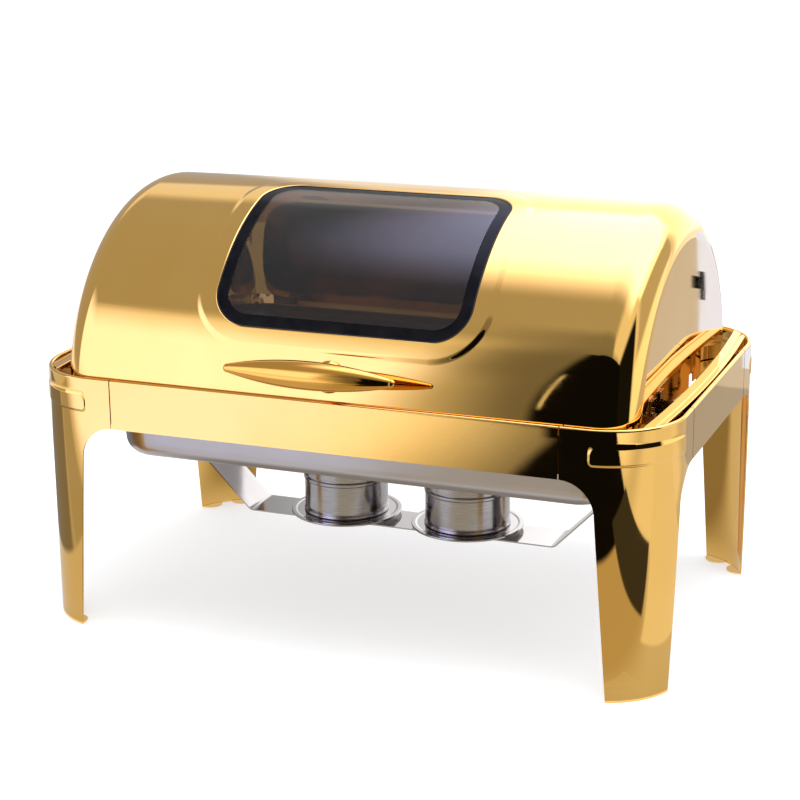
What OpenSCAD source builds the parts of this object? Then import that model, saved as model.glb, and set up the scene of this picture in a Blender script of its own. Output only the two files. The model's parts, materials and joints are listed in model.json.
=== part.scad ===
// Roll top chafer: a curved lid rolls back about a pivot at each end of a
// rectangular frame on four corner legs. A water pan and a food pan sit in the
// frame over two fuel cups, which stand on a strip hung between the ends.

/* [Frame] */
// Overall length over the raised corner bands
overall_l = 660; // [640:2:700]
// Depth of the frame over the raised corner bands
overall_d = 421; // [421:1:440]
// Height of the frame's top edge above the table
frame_top = 264; // [250:1:280]
// Height of the rails
rail_h = 50; // [40:1:60]
// Outside radius of the frame's corners
corner_r = 76; // [70:1:80]
// Sheet thickness of rails and legs
frame_t = 1.5; // [1:0.1:2]
// Distance from the frame's corner to the seam between leg and rail
seam = 100; // [95:1:110]
// Width of the open line at each seam
seam_gap = 0.5; // [0.3:0.1:1]
// Diameter of the rolled bead along the top edge
bead_d = 4.6; // [3:0.1:4.8]
// How far the corner bands stand out
band_out = 1; // [0.5:0.1:1.5]

/* [Legs] */
// Width of a leg on the long side, just under the rail
leg_w_top = 66; // [60:1:72]
// Width of a leg on the long side, at the foot
leg_w_foot = 53; // [48:1:60]
// How much narrower a leg is on the short side
leg_side_less = 4; // [0:1:8]
// Radius of the arch between leg and rail
arch_r = 34; // [25:1:34]
// Width of a foot tab
tab_w = 26; // [20:1:30]

/* [Lid] */
// Outside radius of the lid
lid_r = 205; // [200:1:205]
// Height of the lid's pivot above the table
pivot_z = 228; // [222:1:232]
// Length over the lid's end walls
lid_l = 586.8; // [580:0.2:590]
// Radius between the lid's curved wall and its end walls
lid_round = 37; // [25:1:45]
// Sheet thickness of the lid
lid_t = 1.5; // [1:0.1:2]
// Height of the lid's lower edge above its pivot
lid_edge = 30; // [28:1:34]
// Middle of the window, as degrees up from the front
window_mid = 56; // [54:1:58]
// Length of the opening for the window
window_l = 266; // [240:2:300]
// Height of the opening for the window, straight across
window_h = 200; // [180:2:204]
// Corner radius of that opening
window_r = 38; // [20:1:50]

/* [Handle] */
// Length of the grip
grip_l = 172; // [150:1:200]
// Largest diameter of the grip
grip_d = 27; // [22:1:30]
// Diameter of the grip's ends
grip_end_d = 9; // [6:1:12]
// Distance of the grip's axis from the lid's pivot
grip_reach = 255; // [250:1:260]
// Direction of the stem, as degrees up from the front
grip_angle = 16.3; // [14:0.1:18]

/* [Pans] */
// Height of the support ring's top face
ring_top = 252; // [248:1:253]
// Height of the water pan's bottom
water_bottom = 166; // [160:1:175]
// Depth of the food pan
food_depth = 65; // [40:1:65]
// Length over the food pan's rim
food_l = 530; // [528:1:532]
// Width over the food pan's rim
food_w = 325; // [323:1:327]

/* [Burners] */
// Height of the burner strip's lower face
bar_z = 76; // [70:1:80]
// Width of the burner strip
bar_w = 50; // [40:1:56]
// Half the length of the strip's flat part
bar_flat = 170; // [150:1:175]
// Distance of each burner from the middle
burner_x = 68; // [60:1:80]
// Diameter of the round plate under each cup
plate_d = 117; // [100:1:120]
// Diameter of a fuel cup
cup_d = 92; // [80:1:94]
// Height of a fuel cup
cup_h = 50; // [46:1:52]

/* [Hidden] */

gold = [0.83, 0.66, 0.34];
steel = [0.76, 0.73, 0.74];
dark_steel = [0.45, 0.43, 0.44];
black = [0.07, 0.07, 0.07];
smoke = [0.25, 0.25, 0.25, 0.6];

// Half sizes of the plain frame, inside the corner bands
fx = overall_l / 2 - band_out;
fy = overall_d / 2 - band_out;
corner_z0 = frame_top - rail_h;
bead_z = frame_top - bead_d / 2;
// The grip stands out at the front, so the frame's middle lies behind the
// origin, which is under the middle of the whole object.
grip_front = grip_reach * cos(grip_angle) + grip_d / 2;
y_mid = (grip_front - overall_d / 2) / 2;

// Corner bands: their heights, and the gap left between them and the seams
band_z0 = frame_top - 35;
band_z1 = frame_top - 13;
band_from_seam = 27;
tab_reach = 24;
splice_w = 30;
splice_h = 36;
splice_t = 1;

// End brackets: a bowed strip with a web below its outer edge
bracket_in = 308;
bracket_out = 323;
bracket_bow = 6;
bracket_half = 165;
bracket_t = 1.5;
bracket_z0 = corner_z0 + 1;
// Radius of the bow
bow_r = (pow(bracket_half, 2) + pow(bracket_bow, 2)) / (2 * bracket_bow);
web_in = bracket_out - bracket_t;

// How far a cutting solid runs past what it cuts, and the gap kept between
// parts that are stacked on one another
over = 1;
stack_gap = 0.1;

// Pivots
pin_r = 4;
pin_fit = 0.05;
bush_r = 7;
apron_y = 158;
// The rear apron starts here, so that it clears the burner strip when the lid is open
apron_rear_y = 36;
apron_z = 19;
ear_r = 18;
head_r = 9;
head_t = 2.5;
washer_r = 12;
washer_t = 1;
nut_r = 7;
nut_t = 5;
lid_half = lid_l / 2;
lid_in = lid_half - lid_t;
washer_in = lid_in - stack_gap - washer_t;
washer_out = lid_half + stack_gap;
nut_in = washer_in - nut_t;
thread_fit = 0.02;
// How far a pin runs into its own head, and out through its nut
pin_in_head = 0.5;
pin_past_nut = 1;

// Pans
pan_t = 1;
ring_t = 2;
ring_x = 278;
ring_y = 182;
ring_hole_x = 267;
ring_hole_y = 170;
ring_r = 50;
ring_skirt = 8;
angle_w = 24;
angle_drop = 24;
angle_lap = 8;
front_angle_x = 150;
side_angle_y = 100;
side_angle_x = web_in - bracket_bow * pow((side_angle_y + angle_w / 2) / bracket_half, 2)
    - stack_gap;
rivet_r = 3.5;
rivet_t = 1.5;
buffer_x = 60;
buffer_l = 16;
buffer_d = 8;
buffer_h = 14;
// Lip of a buffer that hooks over the rail's inside
buffer_lip = 2;
buffer_top = 5;
water_rim_x = 273;
water_rim_y = 176;
water_rim_r = 55;
water_x = 265;
water_y = 160;
water_low_x = 260;
water_low_y = 153;
water_top_r = 42;
water_low_r = 38;
water_edge_r = 18;
food_x = 252;
food_y = 149;
food_low_x = 224;
food_low_y = 132;
food_top_r = 45;
food_low_r = 35;
food_edge_r = 14;

// Burners
bar_t = 1.5;
bar_end_z = corner_z0 + 1.5;
bar_end_x = 306;
// How far the sloping arm's upper face is moved in, per unit of thickness
bar_lean = tan(atan((bar_end_z - bar_z) / (bar_end_x - bar_flat)) / 2);
bar_screw_y = 17;
bar_screw_r = 3.5;
bar_screw_h = 2;
// Slot in each end tab of the strip: its width, and the foot left below it
bar_slot_w = 20;
bar_slot_d = 20;
bar_slot_foot = 1;
bar_tab_gap = 0.3;
bar_tab_x = web_in - bar_tab_gap;
bar_tab_z = 240;
spacer_h = 5;
spacer_r = 5;
rivet_y = 15;
plate_t = 1.5;
plate_z = bar_z + bar_t + spacer_h;
cup_z = plate_z + plate_t;
cup_t = 1;
// Beads of a cup stand out to its full diameter; its wall is set in from them
cup_wall_in = 1;
cup_bead_in = 2;
cup_foot = 3;
cup_bead_r = 1.6;
cup_bead_z = cup_h - 13;
cover_gap = 0.4;
cover_t = 0.8;
cover_skirt = 9;
cover_hole_r = 24;
cover_turn_left = 40;
cover_turn_right = 18;
tab_wide = 12;
tab_root = 1;
tab_out = 11;
tab_down = 13;
tab_t = 0.4;

// Window
glass_t = 3.5;
// Depth of the glass below the lid's outside
glass_down = 0.5;
window_edge = 2;
retainer_t = 1.5;
retainer_lap = 12;
retainer_in = 8;

// Handle
stem_r = 7;
stem_foot_r = 16;
screw_r = 3;
screw_head_r = 5.5;
screw_head_h = 3;
screw_l = 21.5;
screw_hole = 0.3;
grip_washer_r = 9;
grip_washer_t = 1.2;
screw_head_z = lid_r - lid_t - grip_washer_t - 0.4;
// Depth of the stem's blank below the lid's outside, its straight foot, the
// depth of its bore, and how far it runs into the grip's round
stem_sunk = 3;
stem_foot_h = 4;
stem_bore = 23;
stem_lap = 2;
stem_fit = 0.02;
seat_gap = 0.05;

module frame_place() {
    translate([0, y_mid, 0]) children();
}

// Everything that is laid out about the lid's pivot line
module pivot_place() {
    frame_place() translate([0, 0, pivot_z]) children();
}

module round_rect(half_x, half_y, r) {
    square([2 * (half_x - r), 2 * half_y], center = true);
    square([2 * half_x, 2 * (half_y - r)], center = true);
    for (sx = [-1, 1], sy = [-1, 1])
        translate([sx * (half_x - r), sy * (half_y - r)]) circle(r, $fn = 96);
}

// Plan outline of the frame, moved in by a distance
module frame_plan(inset) {
    round_rect(fx - inset, fy - inset, corner_r - inset);
}

module frame_wall() {
    difference() {
        frame_plan(0);
        frame_plan(frame_t);
    }
}

// Plan area that belongs to the leg in the +x, +y corner
module corner_area(from_seam) {
    translate([fx - seam + from_seam, fy - seam + from_seam])
        square([2 * seam, 2 * seam]);
}

// What is cut away under a rail beside a leg: across is measured from the
// frame's corner towards the middle, up is height
module leg_cut(half, w_top, w_foot) {
    arch_z = corner_z0 - arch_r;
    x_top = half - w_top;
    x_foot = half - w_foot;
    translate([x_top - arch_r, arch_z]) circle(arch_r, $fn = 96);
    polygon([[0, -over], [x_foot, -over], [x_foot, 0], [x_top, arch_z],
        [x_top - arch_r, arch_z], [x_top - arch_r, corner_z0], [0, corner_z0]]);
}

module foot_tab(half, w) {
    translate([half - w + tab_w / 2, 0]) {
        circle(tab_w / 2, $fn = 48);
        translate([-tab_w / 2, 0]) square([tab_w, tab_reach]);
    }
}

// One leg, drawn in the +x, +y corner
module leg_part() {
    side_top = leg_w_top - leg_side_less;
    side_foot = leg_w_foot - leg_side_less;
    tab_y = fy - tab_reach + tab_w / 2;
    tab_x = fx - tab_reach + tab_w / 2;
    difference() {
        union() {
            linear_extrude(frame_top - bead_d / 2) intersection() {
                frame_wall();
                corner_area(seam_gap / 2);
            }
            translate([0, 0, band_z0]) linear_extrude(band_z1 - band_z0) intersection() {
                difference() {
                    frame_plan(-band_out);
                    frame_plan(frame_t / 2);
                }
                corner_area(band_from_seam);
            }
        }
        translate([0, 2 * fy, 0]) rotate([90, 0, 0]) linear_extrude(2 * fy)
            leg_cut(fx, leg_w_top, leg_w_foot);
        rotate([90, 0, 90]) linear_extrude(2 * fx)
            leg_cut(fy, side_top, side_foot);
    }
    // Foot tabs, turned in under the leg
    linear_extrude(frame_t) intersection() {
        frame_plan(frame_t / 2);
        union() {
            translate([0, tab_y]) foot_tab(fx, leg_w_foot);
            translate([tab_x, 0]) mirror([1, -1, 0]) foot_tab(fy, side_foot);
        }
    }
    // Rolled bead along the top edge, round the corner
    translate([fx - corner_r, fy - corner_r, bead_z])
        rotate_extrude(angle = 90, $fn = 96)
            translate([corner_r - bead_d / 2, 0]) circle(bead_d / 2, $fn = 24);
    bead_run = seam - corner_r - seam_gap / 2;
    translate([fx - corner_r, fy - bead_d / 2, bead_z])
        rotate([0, -90, 0]) cylinder(h = bead_run, d = bead_d, $fn = 24);
    translate([fx - bead_d / 2, fy - corner_r, bead_z])
        rotate([90, 0, 0]) cylinder(h = bead_run, d = bead_d, $fn = 24);
}

module leg(right, rear) {
    color(gold) frame_place()
        mirror([right ? 0 : 1, 0, 0]) mirror([0, rear ? 0 : 1, 0]) leg_part();
}

// A straight rail on the +y side of a rectangle, with its bead
module rail_part(half_run, side_y) {
    run = half_run - seam - seam_gap / 2;
    translate([-run, side_y - frame_t, corner_z0])
        cube([2 * run, frame_t, rail_h - bead_d / 2]);
    translate([-run, side_y - bead_d / 2, bead_z])
        rotate([0, 90, 0]) cylinder(h = 2 * run, d = bead_d, $fn = 24);
}

module rail_front() {
    color(gold) frame_place() mirror([0, 1, 0]) rail_part(fx, fy);
}

module rail_rear() {
    color(gold) frame_place() rail_part(fx, fy);
}

module rail_left() {
    color(gold) frame_place() rotate(90) rail_part(fy, fx);
}

module rail_right() {
    color(gold) frame_place() rotate(-90) rail_part(fy, fx);
}

// Plates behind the eight seams
module splice_plates() {
    z = corner_z0 + (rail_h - bead_d - splice_h) / 2;
    color(steel) frame_place() {
        for (sx = [-1, 1], sy = [-1, 1])
            translate([sx * (fx - seam), sy * (fy - frame_t - splice_t / 2), z + splice_h / 2])
                cube([splice_w, splice_t, splice_h], center = true);
        for (sx = [-1, 1], sy = [-1, 1])
            translate([sx * (fx - frame_t - splice_t / 2), sy * (fy - seam), z + splice_h / 2])
                cube([splice_t, splice_w, splice_h], center = true);
    }
}

// Plan of the bowed end strip at +x between two distances from the middle,
// ending where it meets the inside of the legs
module bowed_strip(near, far) {
    intersection() {
        difference() {
            translate([far - bow_r, 0]) circle(bow_r, $fn = 720);
            translate([near - bow_r, 0]) circle(bow_r, $fn = 720);
        }
        frame_plan(bead_d);
        translate([fx - seam, -fy]) square([seam, 2 * fy]);
    }
}

module bracket_part() {
    difference() {
        union() {
            translate([0, 0, frame_top - bracket_t]) linear_extrude(bracket_t)
                bowed_strip(bracket_in, bracket_out);
            translate([0, 0, bracket_z0]) linear_extrude(frame_top - bracket_z0)
                bowed_strip(web_in, bracket_out);
        }
        translate([web_in - over, 0, pivot_z]) rotate([0, 90, 0])
            cylinder(h = bracket_t + 2 * over, r = pin_r + pin_fit, $fn = 48);
    }
}

module bracket_left() {
    color(gold) frame_place() mirror([1, 0, 0]) bracket_part();
}

module bracket_right() {
    color(gold) frame_place() bracket_part();
}

// Pivot pin: head outside the bracket's web, end inside the lid
module pin_part() {
    rotate([0, 90, 0]) {
        translate([0, 0, bracket_out + stack_gap]) cylinder(h = head_t, r = head_r, $fn = 48);
        translate([0, 0, nut_in - pin_past_nut]) cylinder(
            h = bracket_out + stack_gap + pin_in_head - nut_in + pin_past_nut,
            r = pin_r, $fn = 48);
    }
}

module pivot_pin_left() {
    color(steel) pivot_place() mirror([1, 0, 0]) pin_part();
}

module pivot_pin_right() {
    color(steel) pivot_place() pin_part();
}

// Sleeve that holds the bracket and the lid's end wall apart
module bush_part() {
    x0 = washer_out + washer_t;
    translate([x0, 0, 0]) rotate([0, 90, 0]) difference() {
        cylinder(h = web_in - stack_gap - x0, r = bush_r, $fn = 48);
        translate([0, 0, -over]) cylinder(h = web_in - x0 + 2 * over, r = pin_r + pin_fit, $fn = 48);
    }
}

module pivot_bush_left() {
    color(black) pivot_place() mirror([1, 0, 0]) bush_part();
}

module pivot_bush_right() {
    color(black) pivot_place() bush_part();
}

module ring_washer(x, r_out, r_in, t) {
    translate([x, 0, 0]) rotate([0, 90, 0]) difference() {
        cylinder(h = t, r = r_out, $fn = 48);
        translate([0, 0, -over]) cylinder(h = t + 2 * over, r = r_in, $fn = 48);
    }
}

// Friction washers on both faces of each of the lid's ears
module pivot_washers() {
    color(steel) pivot_place() for (s = [0, 1]) mirror([s, 0, 0]) {
        ring_washer(washer_in, washer_r, pin_r + pin_fit, washer_t);
        ring_washer(washer_out, washer_r, pin_r + pin_fit, washer_t);
    }
}

module pivot_nuts() {
    color(steel) pivot_place() for (s = [0, 1]) mirror([s, 0, 0])
        translate([nut_in, 0, 0]) rotate([0, 90, 0]) difference() {
            cylinder(h = nut_t, r = nut_r, $fn = 6);
            translate([0, 0, -over]) cylinder(h = nut_t + 2 * over, r = pin_r + thread_fit, $fn = 48);
        }
}

// Ring that carries the pans
module support_ring() {
    color(steel) frame_place() difference() {
        translate([0, 0, ring_top - ring_skirt]) linear_extrude(ring_skirt)
            round_rect(ring_x, ring_y, ring_r);
        translate([0, 0, ring_top - 2 * ring_skirt]) linear_extrude(3 * ring_skirt)
            round_rect(ring_hole_x, ring_hole_y, ring_r - ring_x + ring_hole_x);
        translate([0, 0, ring_top - 2 * ring_skirt]) linear_extrude(2 * ring_skirt - ring_t)
            round_rect(ring_x - ring_t, ring_y - ring_t, ring_r - ring_t);
    }
}

// An angle bracket under the ring's edge, out to a wall that stands at +x
module angle_bracket(inner, outer) {
    z = ring_top - ring_skirt;
    translate([inner, -angle_w / 2, z - ring_t])
        cube([outer - inner, angle_w, ring_t]);
    translate([outer - ring_t, -angle_w / 2, z - angle_drop])
        cube([ring_t, angle_w, angle_drop]);
}

module angle_rivets(outer) {
    for (s = [-1, 1])
        translate([outer - ring_t, s * angle_w / 4, ring_top - ring_skirt - angle_drop / 2])
            rotate([0, -90, 0]) cylinder(h = rivet_t, r = rivet_r, $fn = 32);
}

// Places for the brackets: two on the front rail, one on each end bracket
module front_angles() {
    for (s = [-1, 1]) translate([s * front_angle_x, 0, 0]) rotate(-90) children();
}

module side_angles() {
    for (s = [0, 1]) mirror([s, 0, 0]) translate([0, -side_angle_y, 0]) children();
}

module ring_brackets() {
    color(steel) frame_place() {
        front_angles() angle_bracket(ring_y - angle_lap, fy - frame_t);
        side_angles() angle_bracket(ring_x - angle_lap, side_angle_x);
    }
}

module ring_rivets() {
    color(steel) frame_place() {
        front_angles() angle_rivets(fy - frame_t);
        side_angles() angle_rivets(side_angle_x);
    }
}

// Rubber pads inside the front rail, on which the lid's edge comes to rest
module lid_buffers() {
    z1 = pivot_z + lid_edge - stack_gap;
    color(black) frame_place() for (s = [-1, 1])
        translate([s * buffer_x, -(fy - frame_t), z1 - buffer_h]) difference() {
            translate([-buffer_l / 2, 0, 0]) cube([buffer_l, buffer_d, buffer_h]);
            translate([-buffer_l, buffer_d - buffer_lip, -over])
                cube([2 * buffer_l, buffer_lip + over, buffer_h - buffer_top]);
        }
}

// One corner of a pan's rounded bottom edge, as a solid ring segment
module pan_corner(r_plan, r_edge) {
    rotate_extrude($fn = 32) translate([r_plan - r_edge, 0]) circle(r_edge, $fn = 32);
}

// Solid bowl shape: wider at the top, with a rounded bottom edge
module bowl_shape(top_x, top_y, top_r, low_x, low_y, low_r, edge_r, z0, z1) {
    hull() for (sx = [-1, 1], sy = [-1, 1]) {
        translate([sx * (low_x - low_r), sy * (low_y - low_r), z0 + edge_r])
            pan_corner(low_r, edge_r);
        translate([sx * (top_x - top_r), sy * (top_y - top_r), z1 - 0.5])
            cylinder(h = 0.5, r = top_r, $fn = 32);
    }
}

module water_pan() {
    color(steel) frame_place() difference() {
        union() {
            bowl_shape(water_x, water_y, water_top_r, water_low_x, water_low_y,
                water_low_r, water_edge_r, water_bottom, ring_top + pan_t);
            translate([0, 0, ring_top]) linear_extrude(pan_t)
                round_rect(water_rim_x, water_rim_y, water_rim_r);
        }
        bowl_shape(water_x - pan_t, water_y - pan_t, water_top_r - pan_t,
            water_low_x - pan_t, water_low_y - pan_t, water_low_r - pan_t,
            water_edge_r - pan_t, water_bottom + pan_t, ring_top + 2 * pan_t);
    }
}

module food_pan() {
    rim_z = ring_top + pan_t;
    color(steel) frame_place() difference() {
        union() {
            bowl_shape(food_x, food_y, food_top_r, food_low_x, food_low_y,
                food_low_r, food_edge_r, rim_z + pan_t - food_depth, rim_z + pan_t);
            translate([0, 0, rim_z]) linear_extrude(pan_t)
                round_rect(food_l / 2, food_w / 2, food_top_r + food_l / 2 - food_x);
        }
        bowl_shape(food_x - pan_t, food_y - pan_t, food_top_r - pan_t,
            food_low_x - pan_t, food_low_y - pan_t, food_low_r - pan_t,
            food_edge_r - pan_t, rim_z + 2 * pan_t - food_depth, rim_z + 2 * pan_t);
    }
}

// Side view of the burner strip's lower face, from the middle out to +x; raised
// by the strip's thickness it is also the upper face
function bar_line(up) = [
    [bar_flat - up * bar_lean, bar_z + up],
    [bar_end_x - up * bar_lean, bar_end_z + up],
    [bar_tab_x - up, bar_end_z + up],
    [bar_tab_x - up, bar_tab_z]];

// Side view of the whole strip: round the lower face on one half, back along
// the upper face, over to the other half, and back along its lower face
function bar_outline(lower, upper, last) = concat(
    lower,
    [for (i = [last:-1:0]) upper[i]],
    [for (p = upper) [-p[0], p[1]]],
    [for (i = [last:-1:0]) [-lower[i][0], lower[i][1]]]);

module burner_bar() {
    color(steel) frame_place() difference() {
        rotate([90, 0, 0]) linear_extrude(bar_w, center = true)
            polygon(bar_outline(bar_line(0), bar_line(bar_t), 3));
        // The end tabs pass either side of the pivot sleeves
        for (s = [-1, 1])
            translate([s * bar_tab_x, 0, bar_tab_z])
                cube([bar_slot_d, bar_slot_w, 2 * (bar_tab_z - bar_end_z - bar_t - bar_slot_foot)],
                    center = true);
    }
}

// Screws that hold the strip's end tabs to the end brackets
module bar_screws() {
    color(dark_steel) frame_place() for (s = [0, 1], sy = [-1, 1]) mirror([s, 0, 0])
        translate([bar_tab_x - bar_t, sy * bar_screw_y, (bar_tab_z + bar_end_z + bar_t) / 2])
            rotate([0, -90, 0]) cylinder(h = bar_screw_h, r = bar_screw_r, $fn = 32);
}

module burner_plate(side) {
    color(steel) frame_place() translate([side * burner_x, 0, plate_z])
        cylinder(h = plate_t, d = plate_d, $fn = 128);
}

module plate_left() {
    burner_plate(-1);
}

module plate_right() {
    burner_plate(1);
}

// Spacers between the strip and the round plates
module plate_rivets() {
    color(steel) frame_place() for (side = [-1, 1], s = [-1, 1])
        translate([side * burner_x, s * rivet_y, bar_z + bar_t])
            cylinder(h = spacer_h, r = spacer_r, $fn = 32);
}

// Half section of a fuel cup: foot bead, wall and turned-out bead near the rim
module fuel_cup(side) {
    r = cup_d / 2;
    color(dark_steel) frame_place() translate([side * burner_x, 0, cup_z]) {
        rotate_extrude($fn = 128) {
            square([r - cup_wall_in, cup_t]);
            translate([r - cup_t - cup_wall_in, 0]) square([cup_t, cup_h]);
            translate([r - cup_bead_in, cup_foot / 2]) circle(cup_foot / 2, $fn = 24);
            translate([r - cup_bead_in, cup_bead_z]) circle(cup_bead_r, $fn = 24);
        }
    }
}

module fuel_cup_left() {
    fuel_cup(-1);
}

module fuel_cup_right() {
    fuel_cup(1);
}

// Cover that turns on a cup to set the flame, with a hole in the middle and a
// finger tab that slopes out and down
module cup_cover(side, turn) {
    r = cup_d / 2;
    root = r + tab_root;
    z = cup_z + cup_h + cover_gap / 2;
    color(dark_steel) frame_place() translate([side * burner_x, 0, z]) rotate(turn) {
        rotate_extrude($fn = 128) {
            translate([cover_hole_r, 0]) square([r + cover_t - cover_hole_r, cover_t]);
            translate([r - cup_wall_in + cover_gap, -cover_skirt])
                square([cover_t, cover_skirt + cover_t]);
        }
        rotate([90, 0, 0]) linear_extrude(tab_wide, center = true) polygon([
            [r - tab_t, 0], [r - tab_t, cover_t], [root, cover_t],
            [root + tab_out, cover_t - tab_down], [r + tab_out, -tab_down], [r + tab_t, -tab_t]]);
    }
}

module cup_cover_left() {
    cup_cover(-1, -cover_turn_left);
}

module cup_cover_right() {
    cup_cover(1, -cover_turn_right);
}

// Half section of the lid, for turning about its long axis
module lid_section(inset) {
    intersection() {
        round_rect(lid_r - inset, lid_half - inset, lid_round - inset);
        translate([0, -lid_l]) square([2 * lid_r, 2 * lid_l]);
    }
}

// Solid of the lid's full turned shape, moved in by a distance
module lid_turned(inset) {
    rotate([0, 90, 0]) rotate_extrude($fn = 180) lid_section(inset);
}

// Prism along the middle of the window, with its opening made larger by a margin
module window_prism(margin) {
    rotate([90 - window_mid, 0, 0]) linear_extrude(2 * lid_r)
        round_rect(window_l / 2 + margin, window_h / 2 + margin, window_r + margin);
}

// The part of a tube about the pivot line that lies in the window's prism
module window_shell(r_in, r_out, margin) {
    intersection() {
        rotate([0, 90, 0]) difference() {
            cylinder(h = lid_l, r = r_out, center = true, $fn = 180);
            cylinder(h = 2 * lid_l, r = r_in, center = true, $fn = 180);
        }
        window_prism(margin);
    }
}

module stem_place() {
    rotate([90 - grip_angle, 0, 0]) children();
}

module lid_shell() {
    color(gold) pivot_place() difference() {
        union() {
            intersection() {
                difference() {
                    lid_turned(0);
                    lid_turned(lid_t);
                }
                translate([-lid_l, -2 * lid_r, lid_edge]) cube([2 * lid_l, 4 * lid_r, 2 * lid_r]);
            }
            // Ears that reach down to the pivots, and the aprons either side of them
            for (s = [0, 1]) mirror([s, 0, 0]) translate([lid_in, 0, 0]) {
                translate([0, -apron_y, apron_z])
                    cube([lid_t, apron_y, lid_edge + over - apron_z]);
                translate([0, apron_rear_y, apron_z])
                    cube([lid_t, apron_y - apron_rear_y, lid_edge + over - apron_z]);
                rotate([0, 90, 0]) cylinder(h = lid_t, r = ear_r, $fn = 64);
                translate([0, -ear_r, 0]) cube([lid_t, 2 * ear_r, lid_edge + over]);
            }
        }
        rotate([0, 90, 0])
            cylinder(h = 2 * lid_l, r = pin_r + pin_fit, center = true, $fn = 48);
        window_prism(0);
        stem_place() cylinder(h = 2 * lid_r, r = screw_r + screw_hole, $fn = 32);
    }
}

module window_glass() {
    color(smoke) pivot_place()
        window_shell(lid_r - glass_down - glass_t, lid_r - glass_down, -window_edge - stack_gap);
}

// Black gasket between the glass and the lid
module window_gasket() {
    color(black) pivot_place() difference() {
        window_shell(lid_r - lid_t, lid_r, -stack_gap);
        window_prism(-window_edge);
    }
}

// Frame inside the lid that holds the glass and the gasket
module window_retainer() {
    r = lid_r - glass_down - stack_gap - glass_t;
    color(black) pivot_place() {
        difference() {
            window_shell(r - retainer_t, r, retainer_lap);
            window_prism(-window_edge - retainer_in);
        }
        difference() {
            window_shell(r - stack_gap, lid_r - lid_t - stack_gap, retainer_lap);
            window_prism(-stack_gap);
        }
    }
}

// Radius of the grip at a distance from its middle, as a share of its half length
function grip_radius(share) =
    grip_end_d / 2 + (grip_d - grip_end_d) / 2 * (1 - pow(share, 2));

module handle_grip() {
    steps = 14;
    half = grip_l / 2 - grip_end_d / 3;
    color(gold) pivot_place() stem_place() translate([0, 0, grip_reach]) rotate([0, 90, 0])
        rotate_extrude($fn = 64) intersection() {
            union() {
                polygon(concat([[0, -half]],
                    [for (i = [-steps:steps]) [grip_radius(abs(i) / steps), half * i / steps]],
                    [[0, half]]));
                for (s = [-1, 1]) translate([0, s * half])
                    circle(grip_end_d / 2, $fn = 32);
            }
            translate([0, -grip_l / 2]) square([grip_d, grip_l]);
        }
}

// Stem from the lid to the grip, flared where it meets the lid
module handle_stem() {
    flare = stem_foot_r - stem_r;
    color(gold) pivot_place() difference() {
        stem_place() translate([0, 0, lid_r - stem_sunk]) difference() {
            rotate_extrude($fn = 64) difference() {
                square([stem_foot_r, grip_reach - lid_r + stem_sunk - grip_d / 2 + stem_lap]);
                translate([stem_foot_r, flare + stem_foot_h]) circle(flare, $fn = 64);
                translate([stem_r, flare + stem_foot_h]) square([stem_foot_r, grip_reach]);
            }
            translate([0, 0, -over]) cylinder(h = stem_bore + over, r = screw_r + seat_gap, $fn = 32);
        }
        rotate([0, 90, 0]) cylinder(h = lid_l, r = lid_r + seat_gap, center = true, $fn = 180);
        stem_place() translate([0, 0, grip_reach]) rotate([0, 90, 0])
            cylinder(h = 4 * stem_foot_r, r = grip_d / 2 + stem_fit, center = true, $fn = 64);
    }
}

// Screw from inside the lid into the stem
module handle_screw() {
    color(steel) pivot_place() stem_place() {
        translate([0, 0, screw_head_z - screw_head_h])
            cylinder(h = screw_head_h, r = screw_head_r, $fn = 32);
        translate([0, 0, screw_head_z - screw_head_h / 2])
            cylinder(h = screw_l + screw_head_h / 2, r = screw_r, $fn = 32);
    }
}

module handle_washer() {
    color(steel) pivot_place() stem_place() translate([0, 0, screw_head_z + seat_gap]) difference() {
        cylinder(h = grip_washer_t, r = grip_washer_r, $fn = 48);
        translate([0, 0, -over])
            cylinder(h = grip_washer_t + 2 * over, r = screw_r + screw_hole, $fn = 32);
    }
}

leg(false, false);  // leg_front_left
leg(true, false);  // leg_front_right
leg(false, true);  // leg_rear_left
leg(true, true);  // leg_rear_right
rail_front();
rail_rear();
rail_left();
rail_right();
splice_plates();
bracket_left();
bracket_right();
pivot_pin_left();
pivot_pin_right();
pivot_bush_left();
pivot_bush_right();
pivot_washers();
pivot_nuts();
support_ring();
ring_brackets();
ring_rivets();
lid_buffers();
water_pan();
food_pan();
burner_bar();
bar_screws();
plate_left();
plate_right();
plate_rivets();
fuel_cup_left();
fuel_cup_right();
cup_cover_left();
cup_cover_right();
lid_shell();
window_glass();
window_gasket();
window_retainer();
handle_grip();
handle_stem();
handle_screw();
handle_washer();
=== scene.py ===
"""Visual model of a roll top chafer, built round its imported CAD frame. Lengths are in metres."""
import json
import math

import bpy
import numpy as np
from mathutils import Matrix, Vector


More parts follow.
